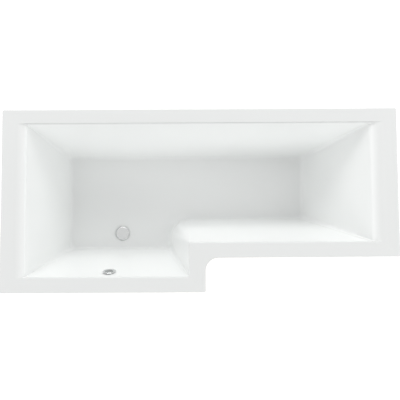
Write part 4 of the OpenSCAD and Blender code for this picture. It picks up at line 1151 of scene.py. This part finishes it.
def wasteBodyPiece():
    # a moulded cup with eight ribs under its flange, a threaded tail, and an inlet that takes the hose
    s = waste
    top = s["boss"] - s["rubber"]
    low, r, c, w, t, b = top - s["chamber"], s["washer"], s["body"], s["wall"], s["tail"], s["throat"]
    tailLow, inside = low - s["tailLength"], c - w
    outer = [(inside + 0.4, top), (r - 0.5, top), (r, top - 0.5), (r, top - 2.4), (r - 0.6, top - 3),
             (c + 2.2, top - 3.1), (c + 0.6, top - 3.9), (c, top - 5.4), (c, low + 1.5), (c - 0.6, low + 0.3),
             (t, low - 0.4)]
    start = len(outer)
    outer += [(t, z) for z in np.arange(low - 1.5, tailLow + 1.2, -0.42)]
    end = len(outer)
    outer += [(t - 0.9, tailLow + 0.3), (t - 1.2, tailLow), (b + 0.5, tailLow), (b, tailLow + 0.5),
              (b, low + w - 0.5), (b + 0.6, low + w), (inside - 1, low + w), (inside, low + w + 1),
              (inside, top - 0.4)]
    thread = threaded(s["tailPitch"], s["tailThread"], tailLow + 1.5, low - 2.2, t)
    cup = turned(outer, atWaste(), 96, wobble=onRows(thread, start, end), loop=True)
    ribSection = [(-0.9, 0.8), (0.9, 0.8), (0.7, -9), (-0.7, -9)]
    ribs = []
    for k in range(s["ribs"]):
        a = 2 * np.pi * (k + 0.5) / s["ribs"]
        out, side = np.array([math.cos(a), math.sin(a), 0]), np.array([-math.sin(a), math.cos(a), 0])
        path = np.array(atWaste(top - 3.5)) + np.outer([c - 0.5, r - 1.6], out)
        ribs.append(carried(ribSection, path, side, (0, 0, 1), [1, 0.12]))
    p, bore, reach = s["spigot"], s["bore"], s["inletLength"]
    spigot = [(p + 3, c - 1), (p + 1.6, c + 0.6), (p + 0.5, c + 1.8), (p, c + 3.4)]
    spigot += barbs(p, reach, -1, 0.4)[::-1] + [(bore + 0.3, reach), (bore, reach - 0.4), (bore, c - 1)]
    inlet = turned(spigot, atWaste(s["inlet"]), 48, towardsFront, loop=True)
    makePiece("wasteBodyMoulding", [cup, inlet] + ribs, "white", "waste_body")


def wasteCartridge():
    # a brass tube that is closed below, with a spanner hexagon round its mouth
    s = waste
    high, rim = s["spiderTop"], 2
    top, r = high + rim, s["cartridge"]
    low, bore = top - s["cartridgeLength"], s["plunger"] + 0.06
    profile = [(0, low), (r - 0.8, low), (r, low + 0.8), (r, low + 8), (r - 0.5, low + 8.5),
               (r - 0.5, low + 10), (r, low + 10.5), (r, high - 0.5), (r, top - 0.9), (bore, top - 0.9),
               (bore, low + 2), (0, low + 2)]
    body = turned(profile, atWaste(), 48)
    collar = hexNut(s["collar"], rim, bore + 0.01, atWaste(high))
    makePiece("wasteCartridgeBody", [body, collar], "brass", "waste_cartridge", crease=30)


def plugPlunger():
    # a rod with a groove, which slides in the cartridge
    s = waste
    p, low, head = s["plunger"], s["plungerFoot"], s["open"]
    rod = [(0, low), (p - 0.5, low), (p, low + 0.5), (p, low + 3), (p - 0.5, low + 3.4),
           (p - 0.5, low + 4.6), (p, low + 5), (p, head - 0.3), (p - 0.3, head), (0, head)]
    makePiece("plungerRod", [turned(rod, atWaste(), 40)], "brass", "plug_plunger", "plug", crease=30)


def plugSpring():
    # the wire's centre winds round the axis; its pitch closes up over the first and last half turn
    s = waste
    t = np.linspace(0, 1, 260)
    a = 2 * np.pi * s["turns"] * t
    low, half = s["coilFrom"], s["wire"] / 2
    rise = np.interp(t, [0, 0.08, 0.92, 1], [0, 0.055, 0.945, 1])
    out = np.stack([np.cos(a), np.sin(a), np.zeros_like(a)], -1)
    path = np.array(atWaste(low + half)) + s["coil"] * out
    path[:, 2] += (s["coilTo"] - low - 2 * half) * rise
    coil = carried(roundLoop(half, 12), path, out, (0, 0, 1))
    spring = makePiece("plugSpringCoil", [coil], "spring", "plug_spring", crease=60)
    # the coil is given a mesh of its own
    tuple(v * 0.001 for v in atWaste(low))
    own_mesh(spring)


def plugCap():
    # a shallow dome with a rolled edge, a little hollow underneath outside its seal; its top is satin
    s = waste
    z, r, h, hollow = s["open"], s["cap"], s["capHeight"], s["throat"] + 3
    profile = [(0, z), (hollow, z), (hollow + 0.4, z + 0.2), (r - 5, z + 0.55), (r - 2.2, z + 0.4),
               (r - 1.2, z), (r - 0.5, z + 0.15), (r, z + 0.7), (r - 0.05, z + 1.1), (r - 0.4, z + 1.6),
               (r - 1.1, z + 2.05), (r - 2.2, z + 2.4), (r - 4, z + 2.66), (r - 7, z + 2.8),
               (r - 14, z + 2.93), (r - 22, z + 2.985), (0, z + h)]
    satin = (np.array(atWaste(z + h)) * 0.001, (r - 2) * 0.001, (0.61, 0.62, 0.616))
    finishes["cap"] = (chromeFinish("capChrome", (0.68, 0.69, 0.69), (0.74, 0.75, 0.75), satin), "chrome")
    makePiece("plugCapDome", [turned(profile, atWaste(), 120)], "cap", "plug_cap", "plug", crease=30)


def plugSeal():
    # a rubber ring under the cap, wide enough to close the throat
    z, throat = waste["open"], waste["throat"]
    low, a, b = z - 1.2, throat + 1.5, throat - 2.5
    ring = [(b, low + 0.3), (b + 0.3, low), (a - 0.5, low), (a, low + 0.4), (a - 0.2, low + 0.8), (a, z),
            (b + 0.2, z), (b, z - 0.3)]
    makePiece("plugSealRing", [turned(ring, atWaste(), 72, loop=True)], "rubber", "plug_seal", "plug")


wasteFlange()
flangeSeal()
wasteSeal()
wasteBodyPiece()
wasteCartridge()
plugPlunger()
plugSpring()
plugCap()
plugSeal()
print("waste made")

# the overflow and its hose: heights along its own axis are from the wall's face, outwards
overflow = {"face": 28.5, "faceHeight": 2.5, "gap": 4.5, "stem": 7, "stemLow": -5, "middle": 10.3, "screw": 3,
            "screwPitch": 1.0, "screwThread": 0.45, "sealBack": -11.5, "seal": 3, "cup": 23, "cupLength": 24,
            "flange": 27, "wall": 3, "spigot": 11.5, "spigotY": -337.8, "spigotTop": 482, "spigotEnd": 451,
            "bolt": 10, "boltHeight": 4, "hose": 12, "rib": 1.8, "ribs": 46, "ribRows": 8, "cuff": 20,
            "bore": 8.5, "bend": 96, "hoseGap": 0.2, "nut": 15.8, "nutLength": 24, "nutBore": 11.8,
            "nutBack": 12, "nutRibs": 12}
elbowLow = overflow["sealBack"] - overflow["wall"] - overflow["cupLength"]       # the elbow's outer floor
inletMouth = shell["waste"][1] - waste["inletLength"]       # the waste inlet's mouth, along Y


def overflowFacePiece():
    # a disc with a rounded ring round its satin middle, whose dark grey is painted shade, on a stem that
    # holds it off the wall
    s = overflow
    g, r, h, stem, low, bore = s["gap"], s["face"], s["faceHeight"], s["stem"], s["stemLow"], s["screw"] + 0.2
    profile = [(0, g - 0.1), (bore, g - 0.1), (bore, low), (stem - 0.4, low), (stem, low + 0.4),
               (stem, g - 0.6), (stem + 0.8, g), (r - 3, g + 0.3), (r - 1.4, g), (r - 0.5, g + 0.1),
               (r - 0.05, g + 0.6), (r - 0.05, g + 0.9), (r - 0.5, g + 1.5), (r - 1.4, g + 2.05),
               (r - 2.8, g + 2.4), (r - 4.6, g + 2.46), (r - 6.4, g + 2.2), (r - 8.2, g + 1.7),
               (r - 9.4, g + 1.1), (r - 10, g + 0.8), (r - 10.5, g + 0.85), (r - 11, g + 1.35),
               (r - 12, g + 1.6), (r - 15, g + 1.8), (r - 21, g + 1.95), (0, g + h - 0.5)]
    disc = turned(profile, overflowAt, 112, wallTurn)
    centre = overflowAt + wallTurn[:, 2] * (g + h)
    # the middle is rougher, like satin, and its dark grey colour is painted shade
    satin = (centre * 0.001, (r - s["middle"]) * 0.001, (0.46, 0.47, 0.47))
    finishes["face"] = (chromeFinish("chromeWithPaintedShadeMiddle", *polished, satin), "chrome")
    makePiece("overflowFaceDisc", [disc], "face", "overflow_face", crease=30)


def overflowSeal():
    # a rubber ring behind the wall, with a step in its edge
    s = overflow
    back, r, hole = s["sealBack"], s["flange"], shell["overflowHole"]
    front = back + s["seal"]
    rubber = [(hole, back + 0.5), (hole + 0.5, back), (r - 0.5, back), (r, back + 0.6), (r - 0.5, back + 1.5),
              (r, front - 0.6), (r - 0.5, front), (hole + 0.5, front), (hole, front - 0.5)]
    makePiece("overflowSealRing", [turned(rubber, overflowAt, 72, wallTurn, loop=True)], "rubber",
              "overflow_seal")


def overflowElbow():
    # a cup with a flange, square to the wall, and a barbed spigot that hangs from it
    s = overflow
    back, r, c, w, q = s["sealBack"], s["flange"], s["cup"], s["wall"], s["screw"]
    hole, rim, low = shell["overflowHole"], back - w, elbowLow
    cup = [(hole, back - 0.4), (hole + 0.4, back), (r - 0.5, back), (r, back - 0.5), (r, rim + 0.5),
           (r - 0.5, rim), (c + 1.6, rim - 0.1), (c + 0.4, rim - 0.8), (c, rim - 2), (c, low + 3),
           (c - 0.5, low + 1.4), (c - 1.6, low + 0.4), (c - 3.4, low), (q + 3.5, low), (q + 3.4, low + 0.1),
           (q + 0.2, low + 0.1), (q + 0.2, low + w), (hole - 1, low + w), (hole, low + w + 1)]
    p, b, top, end = s["spigot"], s["bore"], s["spigotTop"], s["spigotEnd"]
    cupFoot = shell["overflowHeight"] - c
    spigot = [(b, top), (b, end + 0.4), (b + 0.4, end)] + barbs(p, end, 1, 0.5)
    spigot += [(p, cupFoot - 5), (p + 0.5, cupFoot - 3.4), (p + 1.4, cupFoot - 2), (p + 2.6, cupFoot + 1),
               (p + 1, top)]
    moulded = [turned(cup, overflowAt, 96, wallTurn, loop=True),
               turned(spigot, (overflowAt[0], s["spigotY"], 0), 48, loop=True)]
    makePiece("overflowElbowMoulding", moulded, "white", "overflow_elbow")


def overflowBolt():
    # a threaded bolt with a hexagon head, from under the elbow's floor into the face's stem
    s = overflow
    q, pitch, high, bolt, tip = s["screw"], s["screwPitch"], s["boltHeight"], elbowLow - 0.1, s["gap"] - 0.6
    rod = [(0, bolt), (q, bolt + 0.3)] + threadRows(q, bolt + 0.6, tip - 0.9, pitch)
    rod += [(q - 0.5, tip), (0, tip)]
    thread = threaded(pitch, s["screwThread"], bolt + 1, tip - 1.4, q)
    shank = turned(rod, overflowAt, 20, wallTurn, thread)
    head = hexNut(s["bolt"], high, 0, overflowAt + wallTurn[:, 2] * (bolt - high), wallTurn)
    makePiece("overflowBolt", [shank, head], "zinc", "overflow_screw", crease=34)


def ribbedHose():
    # centre line: straight down, a quarter bend, straight along; the radius rises over each rib as a
    # rounded wave between plain cuffs
    s = overflow
    startY, radius, cuff = s["spigotY"], s["bend"], s["cuff"]
    top, endY = s["spigotEnd"] - s["hoseGap"], inletMouth - s["hoseGap"]
    downLength = top - waste["inlet"] - radius
    arc = radius * np.pi / 2
    total = downLength + arc + endY - startY - radius
    steps = 36

    def pipe(t, sizes):
        # rings of the given sizes at lengths t along the centre line
        a = np.clip((t - downLength) / radius, 0, np.pi / 2)
        y = startY + radius * (1 - np.cos(a)) + np.maximum(0, t - downLength - arc)
        z = top - np.minimum(t, downLength) - radius * np.sin(a)
        path = np.stack([np.full_like(t, overflowAt[0]), y, z], -1)
        out = np.stack([np.zeros_like(a), -np.cos(a), -np.sin(a)], -1)
        side = np.broadcast_to([1.0, 0, 0], out.shape)
        return carried(roundLoop(1, steps), path, side, out, sizes, hollow=True)

    ends = np.array([0.15, 0.4, 8, 16])
    t = np.concatenate([ends, np.linspace(cuff, total - cuff, s["ribs"] * s["ribRows"] + 1),
                        total - ends[::-1]])
    phase = np.clip((t - cuff) / (total - 2 * cuff), 0, 1) * s["ribs"]
    wave = np.clip(1.25 * np.sin(np.pi * (phase % 1)) ** 1.2, 0, 1)
    sizes = s["hose"] - s["rib"] + s["rib"] * wave
    sizes[[0, -1]] -= 0.3
    outside = pipe(t, sizes)
    lining = pipe(np.linspace(0.15, total - 0.15, 60), np.full(60, s["bore"]))
    mouths = [joined(outside[0][ring], lining[0][ring]) for ring in (slice(0, steps), slice(-steps, None))]
    makePiece("overflowHoseRibbed", [outside, lining] + mouths, "hose", "overflow_hose", crease=50)


def hoseNuts():
    # moulded gland nuts: twelve finger ribs stand on a barrel whose ends are rounded
    s = overflow
    r, b, h = s["nut"], s["nutBore"], s["nutLength"]
    profile = [(b, 0.5), (b + 0.5, 0), (r - 1.2, 0), (r - 0.4, 0.4), (r, 1.2), (r, 2), (r, 5), (r, 12),
               (r, 19), (r, h - 2), (r, h - 1.2), (r - 0.4, h - 0.4), (r - 1.2, h), (b + 0.5, h),
               (b, h - 0.5)]

    def rib(a, z):
        # a rounded rib times a fade of 0.8 at both ends
        fade = np.clip((z - 1.2) / 0.8, 0, 1) * np.clip((h - 1.2 - z) / 0.8, 0, 1)
        return 1 + 0.092 * np.clip(1.6 * np.cos(s["nutRibs"] * a) - 0.6, 0, 1) * fade

    x = overflowAt[0]
    for name, place, turn in (
            ("top", (x, s["spigotY"], s["spigotEnd"] - s["nutBack"]), None),
            ("bottom", (x, inletMouth + s["nutBack"], waste["inlet"]), towardsFront)):
        makePiece("hoseNut_" + name, [turned(profile, place, 144, turn, rib, loop=True)], "white",
                  "hose_nut_" + name)


overflowFacePiece()
overflowSeal()
overflowElbow()
overflowBolt()
ribbedHose()
hoseNuts()
print("overflow made")

# the studio: its sky is white to the eye and to mirrors, and a uniform soft light to everything else
studio = {"floor": 12.0, "tile": 0.15, "floorOwnLight": 0.5, "sky": 0.77, "card": (1.5, 1.0, 3.3),
          "aim": (0, 0, 0.4),
          "lamps": {"back": ((0, 4.2, 3.2), (5, 2), 110), "front": ((0, -4.2, 3.2), (5, 2), 58),
                    "right": ((4.2, 0, 3.2), (2.6, 2), 30), "left": ((-4.2, 0, 3.2), (2.6, 2), 19)}}


def seenDirectly(f):
    # 1 for camera, glossy and transmission rays, 0 for the rest
    rays = [f.add("ShaderNodeLightPath", output="Is " + kind + " Ray")
            for kind in ("Camera", "Glossy", "Transmission")]
    return (rays[0] + rays[1] + rays[2]) > 0.5


def backdropFinish():
    # a plain pale floor that takes the part's shadow, with its own light to the eye
    f = Finish("studioFloor", {"Base Color": (0.8, 0.8, 0.8), "Roughness": 0.9,
                               "Emission Strength": studio["floorOwnLight"]})
    seen = seenDirectly(f)
    return f.done(EmissionColor=f.blend(seen, (0, 0, 0), (1, 1, 1)))


def studioFloor():
    # a grid of floor with a square left out round each foot, where a tile goes down with the foot as it
    # screws out
    half, tile = studio["floor"], studio["tile"]
    spots = np.array(feet) * 0.001
    x, y = (np.unique([-half, half, *(spots[:, k] - tile), *(spots[:, k] + tile)]) for k in (0, 1))
    grid = np.stack(np.meshgrid(x, y, [0.0], indexing="ij"), -1)[:, :, 0]
    middles = (grid[1:, 1:, :2] + grid[:-1, :-1, :2]) / 2
    under = (np.abs(middles[:, :, None] - spots) < tile).all(-1).any(-1)
    square = np.array([[(-tile, -tile, 0), (-tile, tile, 0)], [(tile, -tile, 0), (tile, tile, 0)]])
    slabs = [("studioFloor", patch(grid, keep=~under))]
    slabs += [("floorTile_" + str(k + 1), patch(square + [*spot, 0])) for k, spot in enumerate(spots)]
    finish = backdropFinish()
    for name, (points, faces) in slabs:
        mesh = bpy.data.meshes.new(name)
        mesh.from_pydata(points, [], faces)
        mesh.materials.append(finish)
        slab = shown(name, mesh)
        if name != "studioFloor":
            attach(slab, name.replace("floorTile", "foot"))


def studioSky():
    # two backgrounds mixed by the kind of ray
    world = bpy.data.worlds.new("studioSky")
    bpy.context.scene.world = world
    f = NodeTree(world)
    light = f.add("ShaderNodeBackground", {}, {0: (1, 1, 1), 1: studio["sky"]})
    white = f.add("ShaderNodeBackground", {}, {0: (1, 1, 1), 1: 1.0})
    mixed = f.add("ShaderNodeMixShader", {}, {0: seenDirectly(f), 1: light, 2: white})
    out = f.nodes.new("ShaderNodeOutputWorld")
    f.links.new(mixed.socket, out.inputs["Surface"])


def studioCard():
    # a black card overhead keeps the light off the basin's floor; the camera looks past it
    wide, deep, high = studio["card"]
    card = bpy.data.meshes.new("studioCard")
    corners = [(-wide, -deep, high), (wide, -deep, high), (wide, deep, high), (-wide, deep, high)]
    card.from_pydata(corners, [], [(0, 1, 2, 3)])
    card.materials.append(Finish("studioCard", {"Base Color": (0.02, 0.02, 0.02), "Roughness": 1.0}).material)
    hung = shown("studioCard", card)
    hung.visible_camera = hung.visible_glossy = False


def studioLamps():
    # four broad soft lamps round the bath, the brightest at the back
    for name, (place, size, power) in studio["lamps"].items():
        lamp = bpy.data.lights.new(name, "AREA")
        lamp.shape, lamp.energy = "RECTANGLE", power
        lamp.size, lamp.size_y = size
        aimed(shown(name, lamp), place, studio["aim"])


studioFloor()
studioSky()
studioCard()
studioLamps()
bpy.context.scene.view_settings.view_transform = "Standard"
print("studio lit")
